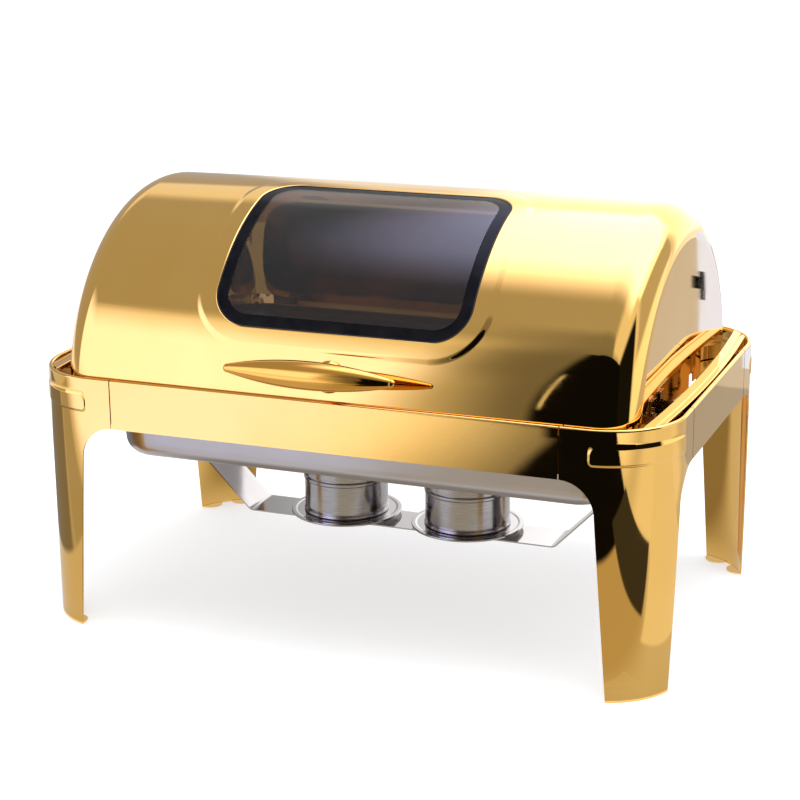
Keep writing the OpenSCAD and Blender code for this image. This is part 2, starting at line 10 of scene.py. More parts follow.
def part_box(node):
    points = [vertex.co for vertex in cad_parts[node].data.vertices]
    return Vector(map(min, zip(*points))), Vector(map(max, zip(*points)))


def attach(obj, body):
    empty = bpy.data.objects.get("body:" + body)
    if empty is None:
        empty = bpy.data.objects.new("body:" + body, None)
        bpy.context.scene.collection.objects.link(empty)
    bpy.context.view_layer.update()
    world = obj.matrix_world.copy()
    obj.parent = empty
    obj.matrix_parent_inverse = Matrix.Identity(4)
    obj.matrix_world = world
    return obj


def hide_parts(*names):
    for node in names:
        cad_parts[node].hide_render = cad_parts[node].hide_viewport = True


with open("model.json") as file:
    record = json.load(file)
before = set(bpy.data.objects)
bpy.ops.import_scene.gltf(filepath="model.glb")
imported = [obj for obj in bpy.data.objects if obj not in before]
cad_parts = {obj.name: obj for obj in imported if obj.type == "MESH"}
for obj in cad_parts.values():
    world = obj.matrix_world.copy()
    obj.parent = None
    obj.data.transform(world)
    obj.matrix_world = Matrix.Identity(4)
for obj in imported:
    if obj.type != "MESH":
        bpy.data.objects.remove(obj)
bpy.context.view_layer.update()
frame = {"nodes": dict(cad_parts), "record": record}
scene = bpy.context.scene

# ---- places from the CAD frame

joints = {j["name"]: j for j in frame["record"]["behaviour"]["joints"]}
PIVOT = np.array(joints["lid_roll"]["pos_m"], float)
Y_MID, PIVOT_Z = PIVOT[1], PIVOT[2]
MIDDLE = np.array([0, Y_MID, 0])

lid_lo, lid_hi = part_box("lid_shell")
rail_lo, rail_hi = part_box("rail_front")
side_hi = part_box("rail_right")[1]
leg_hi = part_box("leg_rear_right")[1]
grip_lo, grip_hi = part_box("handle_grip")
water_lo, water_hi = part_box("water_pan")
food_lo, food_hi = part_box("food_pan")
bar_lo, bar_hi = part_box("burner_bar")
plate_lo, plate_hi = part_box("plate_right")
cup_lo, cup_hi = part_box("fuel_cup_right")
strip_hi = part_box("bracket_right")[1]

# Half the frame's length and half its depth
FRAME_X = side_hi.x
FRAME_Y = Y_MID - rail_lo.y
FRAME_TOP = rail_hi.z
RAIL_Z0 = rail_lo.z
BAND_OUT = leg_hi.x - FRAME_X

# ---- small mathematics


def smooth(x):
    """Eases from 0 to 1, level at both ends."""
    x = np.clip(x, 0.0, 1.0)
    return x * x * (3 - 2 * x)


def unit(a):
    """Vectors scaled to length 1."""
    a = np.asarray(a, float)
    return a / np.maximum(np.linalg.norm(a, axis=-1, keepdims=True), 1e-12)


STRAIGHT = 1e-4  # a smaller turn, in radians, has no corner to round


def rounded_path(points, radii, steps, closed=False):
    """A polyline with rounded corners: its points, and the normals to the left of its run."""
    pts = [np.array(p, float) for p in points]
    n = len(pts)
    out, nor = [], []

    def left(d):
        return np.array([-d[1], d[0]])

    def turned(v, ca, sa):
        return np.array([ca * v[0] - sa * v[1], sa * v[0] + ca * v[1]])

    for i in range(n):
        if not closed and i in (0, n - 1):
            d = unit(pts[1] - pts[0]) if i == 0 else unit(pts[-1] - pts[-2])
            out.append(pts[i])
            nor.append(left(d))
            continue
        a, b, c = pts[i - 1], pts[i], pts[(i + 1) % n]
        d0, d1 = unit(b - a), unit(c - b)
        turn = math.atan2(d0[0] * d1[1] - d0[1] * d1[0], float(np.dot(d0, d1)))
        r = radii[i] if hasattr(radii, "__len__") else radii
        if abs(turn) < STRAIGHT:
            out.append(b)
            nor.append(left(d0))
            continue
        reach = r * math.tan(abs(turn) / 2)
        start = b - d0 * reach
        centre = start + left(d0) * r * np.sign(turn)
        for k in range(steps + 1):
            ang = turn * k / steps
            ca, sa = math.cos(ang), math.sin(ang)
            out.append(centre + turned(start - centre, ca, sa))
            nor.append(left(turned(d0, ca, sa)))
    return np.array(out), np.array(nor)


# ---- mesh building


def face_normals(verts, faces):
    """Unscaled normals of an array of faces that all have the same number of corners."""
    ring = verts[faces]
    return np.cross(ring, np.roll(ring, -1, axis=1)).sum(1)


def facing(verts, faces, normals):
    """The faces, turned over where they face against their corners' normals."""
    wrong = (face_normals(verts, faces) * normals[faces].sum(1)).sum(-1) < 0
    return np.where(wrong[:, None], faces[:, ::-1], faces)


def by_corners(faces):
    """Faces sorted into one array for each number of corners."""
    sizes = sorted({len(f) for f in faces})
    return [np.array([f for f in faces if len(f) == k]) for k in sizes]


class Piece:
    """Gathers surfaces with exact normals, and makes one object of them."""

    def __init__(self):
        self.verts, self.faces, self.normals, self.count = [], [], [], 0

    def block(self, verts, groups):
        """Adds vertices, and groups of faces with a normal for each of their corners."""
        for faces, normals in groups:
            self.faces += (faces + self.count).tolist()
            self.normals.append(np.broadcast_to(normals, faces.shape + (3,)).reshape(-1, 3))
        self.verts.append(verts)
        self.count += len(verts)

    def add(self, verts, faces, normals):
        """Faces with a normal for each vertex."""
        verts, normals = np.asarray(verts, float), np.asarray(normals, float)
        groups = []
        for F in by_corners(faces):
            F = facing(verts, F, normals)
            groups.append((F, normals[F]))
        self.block(verts, groups)

    def grid(self, P, N, wrap_u=False, wrap_v=False):
        """A surface through a grid of points."""
        verts, faces, normals = grid_mesh(P, N, wrap_u, wrap_v)
        self.add(verts, faces, normals)

    def sheet(self, P, N, t, wrap_v=False, keep=None):
        """A sheet of thickness t behind a grid of points."""
        verts, faces, normals = grid_mesh(P, N, False, wrap_v, keep)
        self.thick(verts, faces, normals, t)

    def thick(self, verts, faces, normals, t):
        """A sheet of thickness t behind an outer surface, closed along its edges."""
        verts, N = np.asarray(verts, float), np.asarray(normals, float)
        n = len(verts)
        both = np.concatenate([verts, verts - N * t])
        groups, edges = [], set()
        for F in by_corners(faces):
            F = facing(verts, F, N)
            groups.append((F, N[F]))
            groups.append((F[:, ::-1] + n, -N[F[:, ::-1]]))
            edges |= set(zip(F.ravel().tolist(), np.roll(F, -1, axis=1).ravel().tolist()))
        free = [(a, b) for a, b in sorted(edges) if a != b and (b, a) not in edges]
        rim = np.array([(b, a, a + n, b + n) for a, b in free])
        groups.append((rim, unit(face_normals(both, rim))[:, None]))
        self.block(both, groups)

    def lathe(self, points, radii, place, steps=128, corner_steps=4, closed=True):
        """Surface of revolution about z of a (radius, height) outline, capped where it is open."""
        path, nor = rounded_path(points, radii, corner_steps, closed)
        area = np.sum(path[:, 0] * np.roll(path[:, 1], -1) - np.roll(path[:, 0], -1) * path[:, 1])
        nor = -nor if area > 0 else nor
        ang = np.linspace(0, 2 * np.pi, steps, endpoint=False)
        ring = np.stack([np.cos(ang), np.sin(ang), 0 * ang], -1)
        axis = np.array([0, 0, 1.0])
        M, origin = np.array(place.to_3x3()), np.array(place.translation)
        P = (path[:, None, :1] * ring + path[:, None, 1:] * axis) @ M.T + origin
        N = (nor[:, None, :1] * ring + nor[:, None, 1:] * axis) @ M.T
        self.grid(P, N, closed, True)
        if not closed:
            for k in (0, -1):
                self.add(P[k], [list(range(steps))], np.broadcast_to(M @ axis * nor[k][1], P[k].shape))

    def object(self, node, body, slot, material=None, name=None):
        """Makes the object that stands for a CAD node, on its body, with the material given or else
        its slot's material.
        """
        name = name or node + "_visual"
        me = bpy.data.meshes.new(name)
        me.from_pydata(np.concatenate(self.verts).tolist(), [], self.faces)
        me.polygons.foreach_set("use_smooth", [True] * len(self.faces))
        me.normals_split_custom_set(np.concatenate(self.normals).tolist())
        me.materials.append(material or SLOT_MATERIAL[slot])
        ob = bpy.data.objects.new(name, me)
        scene.collection.objects.link(ob)
        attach(ob, body)
        if node:
            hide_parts(node)


def grid_mesh(P, N, wrap_u=False, wrap_v=False, keep=None):
    """Vertices, quads and normals of a grid of points; keep says which cells are used."""
    m, n = P.shape[:2]
    i, j = np.meshgrid(np.arange(m if wrap_u else m - 1), np.arange(n if wrap_v else n - 1),
                       indexing="ij")
    i1, j1 = (i + 1) % m, (j + 1) % n
    faces = np.stack([i * n + j, i1 * n + j, i1 * n + j1, i * n + j1], -1)
    faces = faces.reshape(-1, 4) if keep is None else faces[keep]
    return P.reshape(-1, 3), faces.tolist(), unit(np.broadcast_to(N, P.shape).reshape(-1, 3))


def surface_normals(P):
    """Normals of a grid of closed loops, from the differences between neighbouring points."""
    return unit(np.cross(np.gradient(P, axis=0), np.roll(P, -1, 1) - np.roll(P, 1, 1)))


# ---- materials

NOISE_LOW, NOISE_HIGH = 0.3, 0.7  # nearly all of a noise lies between these


def set_inputs(node, values):
    """Gives a node's inputs their values, by name."""
    for key, value in values.items():
        node.inputs[key.replace("_", " ")].default_value = value


def add_node(tree, kind, **values):
    """A new node, with values for its named inputs."""
    node = tree.nodes.new("ShaderNode" + kind)
    set_inputs(node, values)
    return node


def remap(tree, value, start, end, low, high):
    """A node that turns the range start to end into the range low to high."""
    r = add_node(tree, "MapRange", From_Min=start, From_Max=end, To_Min=low, To_Max=high)
    tree.links.new(value, r.inputs["Value"])
    return r


class Finish:
    """A Principled material, and the nodes that vary it over the surface."""

    def __init__(self, name, colour, metallic=0.0, roughness=0.5, **more):
        self.material = bpy.data.materials.new(name)
        self.material.use_nodes = True
        self.tree = self.material.node_tree
        self.link = self.tree.links.new
        shader = self.tree.nodes["Principled BSDF"]
        self.inputs = shader.inputs
        set_inputs(shader, {"Base_Color": (*colour, 1), "Metallic": metallic,
                            "Roughness": roughness, **more})

    def coords(self, scale=(1, 1, 1)):
        """Places on the object, scaled by direction."""
        where = add_node(self.tree, "TexCoord")
        mapping = add_node(self.tree, "Mapping", Scale=scale)
        self.link(where.outputs["Object"], mapping.inputs["Vector"])
        return mapping.outputs["Vector"]

    def noise(self, vector, scale, detail=2.0, rough=0.5):
        """Cloudy noise from 0 to 1."""
        tex = add_node(self.tree, "TexNoise", Scale=scale, Detail=detail, Roughness=rough)
        self.link(vector, tex.inputs["Vector"])
        return tex.outputs["Fac"]

    def vary_roughness(self, value, low, high):
        """Lets a noise vary the roughness."""
        r = remap(self.tree, value, NOISE_LOW, NOISE_HIGH, low, high)
        self.link(r.outputs["Result"], self.inputs["Roughness"])

    def vary_colour(self, value, dark, light):
        """Lets a noise vary the colour."""
        ramp = add_node(self.tree, "ValToRGB")
        first, last = ramp.color_ramp.elements
        first.position, first.color = NOISE_LOW, (*dark, 1)
        last.position, last.color = NOISE_HIGH, (*light, 1)
        self.link(value, ramp.inputs["Fac"])
        self.link(ramp.outputs["Color"], self.inputs["Base Color"])

    def bump(self, value, strength, distance, after=None):
        """Raises the surface by a noise, on top of an earlier bump if there is one."""
        b = add_node(self.tree, "Bump", Strength=strength, Distance=distance)
        self.link(value, b.inputs["Height"])
        if after is not None:
            self.link(after.outputs["Normal"], b.inputs["Normal"])
        self.link(b.outputs["Normal"], self.inputs["Normal"])
        return b


def polished_metal(name, dark, light, rough_low, rough_high, wave=0.0008, grain=(1, 1, 1),
                   fine_depth=0.10):
    """Polished sheet metal: faint waves of the sheet, wipe marks, and a fine grain."""
    f = Finish(name, light, metallic=1.0)
    plain, along = f.coords(), f.coords(grain)
    f.vary_colour(f.noise(plain, 9.0, 3.0), dark, light)
    f.vary_roughness(f.noise(along, 38.0, 6.0, 0.65), rough_low, rough_high)
    swell = f.bump(f.noise(plain, 6.5, 1.0), 1.0, wave)
    f.bump(f.noise(along, 900.0, 2.0), fine_depth, 0.00004, swell)
    return f.material


def brushed_metal(name, dark, light, rough, aniso, lines=(60, 60, 2600)):
    """Steel with fine lines round it: close together in z, long in x and y."""
    f = Finish(name, light, metallic=1.0, roughness=rough, Anisotropic=aniso)
    streak = f.noise(f.coords(lines), 1.0, 4.0, 0.7)
    f.vary_colour(streak, dark, light)
    f.bump(streak, 0.25, 0.00006)
    f.vary_roughness(streak, rough - 0.07, rough + 0.09)
    return f.material


def clouded(name, colour, rough, scale, detail, rough_range, shades=None, grit=0, **more):
    """A material varied by one noise: its roughness, and where given its colour and height."""
    f = Finish(name, colour, roughness=rough, **more)
    cloud = f.noise(f.coords(), scale, detail)
    if shades:
        f.vary_colour(cloud, *shades)
    f.vary_roughness(cloud, *rough_range)
    if grit:
        f.bump(cloud, grit, 0.0001)
    return f.material


GOLD = polished_metal("gold_sheet", (0.86, 0.505, 0.135), (0.90, 0.55, 0.158), 0.015, 0.045,
                      wave=0.0005, fine_depth=0.03)
# Dark gold for the splice plates behind the seams: painted shade in the slits.
GOLD_PAINTED_SHADE = polished_metal("gold_shaded", (0.10, 0.05, 0.012), (0.20, 0.11, 0.03), 0.25, 0.40)
# Darker, more orange gold of the grip and stem: partly the handle's own tone, partly painted shade.
GOLD_HANDLE_TONE_AND_SHADE = polished_metal("gold_turned", (0.80, 0.40, 0.07), (0.86, 0.46, 0.10), 0.06, 0.11,
                             wave=0.0001, grain=(1, 6, 6))
STEEL = polished_metal("steel_polished", (0.50, 0.475, 0.47), (0.58, 0.555, 0.55), 0.07, 0.16)
SATIN = polished_metal("steel_satin", (0.58, 0.54, 0.56), (0.64, 0.60, 0.62), 0.20, 0.27,
                       wave=0.0002)
BRUSHED = brushed_metal("steel_brushed", (0.36, 0.34, 0.345), (0.58, 0.55, 0.555), 0.17, 0.4)
BLACK_METAL = clouded("black_paint", (0.012, 0.012, 0.013), 0.38, 420.0, 3.0, (0.30, 0.46), grit=0.25)
RUBBER = clouded("black_rubber", (0.012, 0.012, 0.012), 0.7, 650.0, 4.0, (0.55, 0.78),
                 ((0.008, 0.008, 0.008), (0.020, 0.020, 0.021)), 0.3)
FRIT = clouded("black_enamel", (0.004, 0.004, 0.006), 0.06, 60.0, 4.0, (0.04, 0.09),
               ((0.003, 0.003, 0.005), (0.008, 0.008, 0.011)), IOR=1.15)
GLASS = clouded("smoked_glass", (0.30, 0.28, 0.29), 0.02, 30.0, 4.0, (0.01, 0.035),
                ((0.19, 0.178, 0.172), (0.23, 0.215, 0.208)), Transmission_Weight=1.0, IOR=1.5)
SLOT_MATERIAL = {"gold": GOLD, "stainless": STEEL, "cup_steel": BRUSHED,
                 "black_metal": BLACK_METAL, "black_rubber": RUBBER, "smoked_glass": GLASS}

# ---- lid

LID_T = 0.0015
LID_RAISE = 0.0009  # how far the pressed band round the window stands up
LID_R = lid_hi.z - PIVOT_Z - LID_RAISE
LID_HALF = lid_hi.x
LID_ROUND = 0.037  # fillet from the curved top to the end walls
LID_CROWN = 0.0016  # how much lower the curved top is at its ends
LID_EDGE = 0.030  # height of the lid's long edges over the pivots
EAR_R = PIVOT_Z - lid_lo.z
# The aprons under the long edges: how far out, how low, and where the rear one starts
APRON_Y, APRON_Z, APRON_REAR = 0.158, 0.019, 0.036
LID_BEND = 2 * LID_CROWN / (LID_HALF - LID_ROUND)
LID_STRAIGHT = LID_HALF - LID_ROUND * (1 - math.sin(LID_BEND))
LID_S_END = LID_STRAIGHT + LID_ROUND * (math.pi / 2 - LID_BEND)
# The rows of the lid's grid next to its long edges
LOWEST_ROW, HIGHEST_ROW = math.radians(11.5), math.radians(168)

# The window: half its size along and up the lid, corner radius, lip, pressed fold, and the
# patch of the lid's grid that holds it
WIN_MID = math.radians(56)
WIN_A, WIN_B, WIN_R = 0.1312, 0.1006, 0.0370
WIN_FLAT_A, WIN_FLAT_B = WIN_A - WIN_R, WIN_B - WIN_R
WIN_LIP = 0.0012
FOLD_IN, FOLD_OUT = 0.0150, 0.0215
RING_OUT = 0.0240
PATCH_A, PATCH_B = 0.1680, 0.1370
CORNER_STEPS, ACROSS_STEPS, UP_STEPS = 10, 36, 24
LIP_STEPS, FOLD_STEPS = 6, 14


def lid_base(s, th):
    """The lid's plain outer surface: s runs along its length, th up from the front."""
    s, th = np.broadcast_arrays(np.asarray(s, float), np.asarray(th, float))
    a, side = np.abs(s), np.sign(s)
    on_top = a <= LID_STRAIGHT
    k = np.where(on_top, LID_BEND * a / LID_STRAIGHT, LID_BEND + (a - LID_STRAIGHT) / LID_ROUND)
    x = np.where(on_top, a, LID_STRAIGHT + LID_ROUND * (np.sin(k) - math.sin(LID_BEND)))
    r = np.where(on_top, LID_R - LID_CROWN * (a / LID_STRAIGHT) ** 2,
                 LID_R - LID_CROWN - LID_ROUND * (math.cos(LID_BEND) - np.cos(k)))
    P = np.stack([side * x, -r * np.cos(th), r * np.sin(th)], -1) + PIVOT
    N = np.stack([side * np.sin(k), -np.cos(k) * np.cos(th), np.cos(k) * np.sin(th)], -1)
    return P, N, r


def window_outline(d):
    """Rounded rectangle round the window's edge, moved out by d: points, outward normals."""
    a, b, r = WIN_FLAT_A, WIN_FLAT_B, WIN_R + d
    corners = np.array([(-a, -b), (a, -b), (a, b), (-a, b)])
    outward = np.array([(0.0, -1.0), (1.0, 0.0), (0.0, 1.0), (-1.0, 0.0)])
    pts, nor = [], []
    for side in range(4):
        n, corner = outward[side], corners[(side + 1) % 4]
        start, end = corners[side] + r * n, corner + r * n
        steps = UP_STEPS if side % 2 else ACROSS_STEPS
        for k in range(steps + 1):
            pts.append(start + (end - start) * k / steps)
            nor.append(n)
        for k in range(1, 2 * CORNER_STEPS):
            t = math.pi / 2 * (side - 1) + math.pi / 2 * k / (2 * CORNER_STEPS)
            nor.append(np.array([math.cos(t), math.sin(t)]))
            pts.append(corner + r * nor[-1])
    return np.array(pts), np.array(nor)


def stations(half, flat, flat_steps):
    """Places across the patch round the window, which match the steps of its outline."""
    return np.concatenate([np.linspace(-half, -flat, CORNER_STEPS + 1),
                           np.linspace(-flat, flat, flat_steps + 1)[1:],
                           np.linspace(flat, half, CORNER_STEPS + 1)[1:]])


def round_the_pivot(pts):
    """For outline points: their places along the axis, and the outward and upward directions."""
    th = WIN_MID + pts[:, 1] / LID_R
    on_axis = np.stack([pts[:, 0], 0 * th, 0 * th], -1)
    outward = np.stack([0 * th, -np.cos(th), np.sin(th)], -1)
    upward = np.stack([0 * th, np.sin(th), np.cos(th)], -1)
    return on_axis, outward, upward


def window_surface(pts, nor, lift, tangent):
    """Points of an outline on the lid, lifted, with normals from the section's own slope."""
    P, N, _ = lid_base(pts[:, 0], WIN_MID + pts[:, 1] / LID_R)
    _, _, along = round_the_pivot(pts)
    level = np.array([1.0, 0, 0])
    level = unit(level - N * (level * N).sum(-1, keepdims=True))
    out = nor[:, :1] * level + nor[:, 1:] * along
    return P + N * lift, unit(N * tangent[0] - out * tangent[1])


WELD_STEPS = 2e5  # vertices in the same step of a metre are one vertex


class Weld:
    """Vertices of joined grids, shared where they meet."""

    def __init__(self):
        self.verts, self.normals, self.faces, self.known = [], [], [], {}

    def vertex(self, p, n):
        key = tuple(np.round(p * WELD_STEPS).astype(int))
        if key not in self.known:
            self.known[key] = len(self.verts)
            self.verts.append(p)
            self.normals.append(n)
        return self.known[key]

    def grid(self, P, N, wrap_v=False):
        ids = [[self.vertex(P[i, j], N[i, j]) for j in range(P.shape[1])] for i in range(P.shape[0])]
        m, n = P.shape[:2]
        for i in range(m - 1):
            for j in range(n if wrap_v else n - 1):
                j1 = (j + 1) % n
                face = [ids[i][j], ids[i + 1][j], ids[i + 1][j1], ids[i][j1]]
                face = [v for k, v in enumerate(face) if v != face[k - 1]]
                if len(face) > 2:
                    self.faces.append(face)


def lip_and_fold():
    """Section round the window as (distance out, lift, slope's direction): lip, band, fold."""
    rings = []
    for k in range(LIP_STEPS + 1):
        t = math.pi / 2 * k / LIP_STEPS
        rings.append((WIN_LIP * (1 - math.cos(t)), LID_RAISE - WIN_LIP * (1 - math.sin(t)),
                      (math.sin(t), math.cos(t))))
    for d in (0.003, 0.006, 0.010, 0.013):
        rings.append((d, LID_RAISE, (1, 0)))
    for k in range(FOLD_STEPS + 1):
        f = k / FOLD_STEPS
        slope = -LID_RAISE * 6 * f * (1 - f) / (FOLD_OUT - FOLD_IN)
        rings.append((FOLD_IN + (FOLD_OUT - FOLD_IN) * f, LID_RAISE * (1 - smooth(f)), (1, slope)))
    rings.append((RING_OUT, 0.0, (1, 0)))
    return rings


def patch_edge(xs, ws):
    """The patch's rectangle as points that pair with those of the window's outline."""
    a, b = WIN_FLAT_A, WIN_FLAT_B
    left, right = xs[xs <= -a], xs[xs >= a]
    low, high = ws[ws <= -b], ws[ws >= b]
    flat_x, flat_w = xs[(xs >= -a) & (xs <= a)], ws[(ws >= -b) & (ws <= b)]
    bottom = np.concatenate([flat_x, right[1:]])
    right_side = np.concatenate([low[1:-1], flat_w, high[1:]])
    top = np.concatenate([right[::-1][1:-1], flat_x[::-1], left[::-1][1:]])
    left_side = np.concatenate([high[::-1][1:-1], flat_w[::-1], low[::-1][1:]])
    edge = [(x, -PATCH_B) for x in bottom] + [(PATCH_A, w) for w in right_side]
    edge += [(x, PATCH_B) for x in top] + [(-PATCH_A, w) for w in left_side]
    return np.array(edge + [(x, -PATCH_B) for x in left[1:-1]])


def end_wall(curve, sx):
    """Outline of an end wall: the lid's curve, then the aprons and the ear round the pivot."""
    outline = [(APRON_Y, LID_EDGE), (APRON_Y, APRON_Z), (APRON_REAR, APRON_Z),
               (APRON_REAR, LID_EDGE), (EAR_R, LID_EDGE)]
    for k in range(25):
        t = -math.pi * k / 24
        outline.append((EAR_R * math.cos(t), EAR_R * math.sin(t)))
    outline += [(-EAR_R, APRON_Z), (-APRON_Y, APRON_Z), (-APRON_Y, LID_EDGE)]
    return list(curve) + [np.array([sx * LID_HALF, y, z]) + PIVOT for y, z in outline]


def build_lid():
    """The lid: curved top with filleted ends, the pressing round the window, and end walls."""
    w = Weld()
    xs = stations(PATCH_A, WIN_FLAT_A, ACROSS_STEPS)
    ws = stations(PATCH_B, WIN_FLAT_B, UP_STEPS)
    side = np.concatenate([np.linspace(PATCH_A, LID_STRAIGHT, 10),
                           np.linspace(LID_STRAIGHT, LID_S_END, 19)[1:]])
    cols = np.concatenate([-side[::-1], xs[1:-1], side])
    th_patch = WIN_MID + ws / LID_R
    above = np.linspace(th_patch[-1], HIGHEST_ROW, 40)[1:]
    below = [0.0, LOWEST_ROW, 0.5 * (LOWEST_ROW + th_patch[0])]
    th = np.concatenate([below, th_patch, above, [0.0]])
    T, S = np.meshgrid(th, cols, indexing="ij")
    # The first and last rows are the long edges, level with each other
    _, _, r = lid_base(cols, 0)
    T[0] = np.arcsin(LID_EDGE / r)
    T[-1] = math.pi - T[0]
    P, N, _ = lid_base(S, T)

    # The plain lid round the patch
    r0, r1 = len(below), len(below) + len(ws) - 1
    c0, c1 = len(side) - 1, len(side) - 1 + len(xs) - 1
    w.grid(P[:r0 + 1], N[:r0 + 1])
    w.grid(P[r1:], N[r1:])
    w.grid(P[r0:r1 + 1, :c0 + 1], N[r0:r1 + 1, :c0 + 1])
    w.grid(P[r0:r1 + 1, c1:], N[r0:r1 + 1, c1:])

    # Rings from the window's lip out to the patch's rectangle
    ring_points, ring_normals = [], []
    for d, lift, tangent in lip_and_fold():
        p, n = window_surface(*window_outline(d), lift, tangent)
        ring_points.append(p)
        ring_normals.append(n)
    pts, _ = window_outline(RING_OUT)
    edge = patch_edge(xs, ws)
    for f in (0.25, 0.5, 0.75, 1.0):
        q = pts * (1 - f) + edge * f if f < 1 else edge
        p, n, _ = lid_base(q[:, 0], WIN_MID + q[:, 1] / LID_R)
        ring_points.append(p)
        ring_normals.append(n)
    w.grid(np.array(ring_points), np.array(ring_normals), wrap_v=True)

    for sx, column in ((-1, 0), (1, -1)):
        flat = np.array([sx, 0.0, 0.0])
        w.faces.append([w.vertex(p, flat) for p in end_wall(P[:, column], sx)])
    piece = Piece()
    piece.thick(w.verts, w.faces, w.normals, LID_T)
    piece.object("lid_shell", "lid", "gold")


PANE_OUT = LID_R - 0.0003
PANE_IN = PANE_OUT - 0.0035
BORDER = 0.0122  # width of the pane's black border
GASKET = 0.0012  # width of the gasket between the lid and the pane
RING_EDGE = 0.0003  # rounding of the border's and the gasket's edges


def window_ring(piece, d_out, d_in, r_out, r_in):
    """A band that follows the window's outline between two offsets, with rounded edges."""
    corners = [(d_in, r_in), (d_in, r_out), (d_out, r_out), (d_out, r_in)]
    section, slopes = rounded_path(corners, RING_EDGE, 3, closed=True)
    P, N = [], []
    for (d, r), (nd, nr) in zip(section, slopes):
        pts, out = window_outline(d)
        on_axis, er, et = round_the_pivot(pts)
        ex = np.array([1.0, 0, 0])
        P.append(on_axis + er * r + PIVOT)
        N.append(er * nr + (out[:, :1] * ex + out[:, 1:] * et) * nd)
    piece.grid(np.array(P), np.array(N), True, True)


def build_window():
    """Smoked pane, its black enamel border, and the gasket round it."""
    border = Piece()
    window_ring(border, -GASKET, -BORDER, PANE_OUT, PANE_IN)
    border.object(None, "lid", "black_metal", FRIT, "window_border")
    gasket = Piece()
    window_ring(gasket, -0.0001, -GASKET + 0.0001, LID_R + 0.0001, PANE_IN + 0.0006)
    gasket.object("window_gasket", "lid", "black_rubber")

    # The pane's two faces run from its edge in to a line along its middle
    pane = Piece()
    pts, out = window_outline(-BORDER)
    spine = np.stack([np.clip(pts[:, 0], -(WIN_A - WIN_B), WIN_A - WIN_B), 0 * pts[:, 1]], -1)
    for r, side in ((PANE_OUT, 1), (PANE_IN, -1)):
        w = Weld()
        P, N = [], []
        for f in np.linspace(0, 1, 22):
            on_axis, er, _ = round_the_pivot(pts * (1 - f) + spine * f)
            P.append(on_axis + er * r + PIVOT)
            N.append(er)
        w.grid(np.array(P), np.array(N), wrap_v=True)
        pane.add(w.verts, w.faces, [n * side for n in w.normals])
    on_axis, er, et = round_the_pivot(pts)
    foot = on_axis + PIVOT
    away = out[:, :1] * np.array([1.0, 0, 0]) + out[:, 1:] * et
    rim = np.array([foot + er * PANE_OUT, foot + er * PANE_IN])
    pane.grid(rim, np.array([away, away]), False, True)
    pane.object("window_glass", "lid", "smoked_glass", name="window_pane")


# ---- handle

GRIP_CENTRE = np.array([0.0, (grip_lo.y + grip_hi.y) / 2, (grip_lo.z + grip_hi.z) / 2])
GRIP_HALF = grip_hi.x
GRIP_R = (grip_hi.y - grip_lo.y) / 2
GRIP_TIP = 0.0042  # radius of its rounded tips
GRIP_POWER = 2.1  # how its radius falls off towards the tips


def along_axis(centre, axis):
    """Places local z along an axis, from a centre."""
    turn = Vector((0, 0, 1)).rotation_difference(Vector(axis))
    return Matrix.Translation(Vector(centre)) @ turn.to_matrix().to_4x4()


def build_grip():
    """Spindle with rounded tips, from rows of (distance along, radius, normal)."""
    half = GRIP_HALF - GRIP_TIP
    tip = []
    for k in range(8):
        t = math.pi / 2 * k / 8
        tip.append((half + GRIP_TIP * math.sin(t), GRIP_TIP * math.cos(t), (math.sin(t), math.cos(t))))
    rows = [(-x, r, (-nx, nr)) for x, r, (nx, nr) in tip[::-1]]
    for share in np.linspace(-1, 1, 61)[1:-1]:
        r = GRIP_TIP + (GRIP_R - GRIP_TIP) * (1 - abs(share) ** GRIP_POWER)
        fall = (GRIP_R - GRIP_TIP) * GRIP_POWER * abs(share) ** (GRIP_POWER - 1) * np.sign(share)
        rows.append((share * half, r, unit(np.array([fall / half, 1.0]))))
    rows += tip
    ang = np.linspace(0, 2 * np.pi, 64, endpoint=False)
    ring = np.stack([0 * ang, np.cos(ang), np.sin(ang)], -1)
    P = np.array([GRIP_CENTRE + np.array([x, 0, 0]) + ring * r for x, r, _ in rows])
    N = np.array([np.array([n[0], 0, 0]) + ring * n[1] for _, _, n in rows])
    grip = Piece()
    grip.grid(P, N, False, True)
    for sx, row in ((-1, P[0]), (1, P[-1])):
        end = GRIP_CENTRE + np.array([sx * GRIP_HALF, 0, 0])
        for i in range(len(row)):
            j = (i + 1) % len(row)
            grip.add([end, row[i], row[j]], [[0, 1, 2]], [np.array([sx, 0, 0.0])] * 3)
    grip.object("handle_grip", "lid", "gold", GOLD_HANDLE_TONE_AND_SHADE)


def build_stem():
    """Flared stem between the lid and the grip, turned about the line from the pivot."""
    reach = GRIP_CENTRE - PIVOT
    out = unit(reach)
    foot_r, neck_r, hole_r = 0.0155, 0.0068, 0.0036
    sunk = 0.0016  # how far its foot starts below the lid's radius
    top = float(np.linalg.norm(reach)) - LID_R - GRIP_R + 0.0036
    stem = Piece()
    stem.lathe([(hole_r, 0.0), (foot_r, 0.0012), (foot_r, 0.0032), (neck_r + 0.0016, 0.0110),
                (neck_r, 0.0180), (neck_r + 0.0006, top), (hole_r, top)],
               [0.0003, 0.0006, 0.0012, 0.010, 0.010, 0.0006, 0.0003],
               along_axis(PIVOT + out * (LID_R - sunk), out), 64, 5)
    stem.object("handle_stem", "lid", "gold", GOLD_HANDLE_TONE_AND_SHADE)


# ---- frame: legs and rails

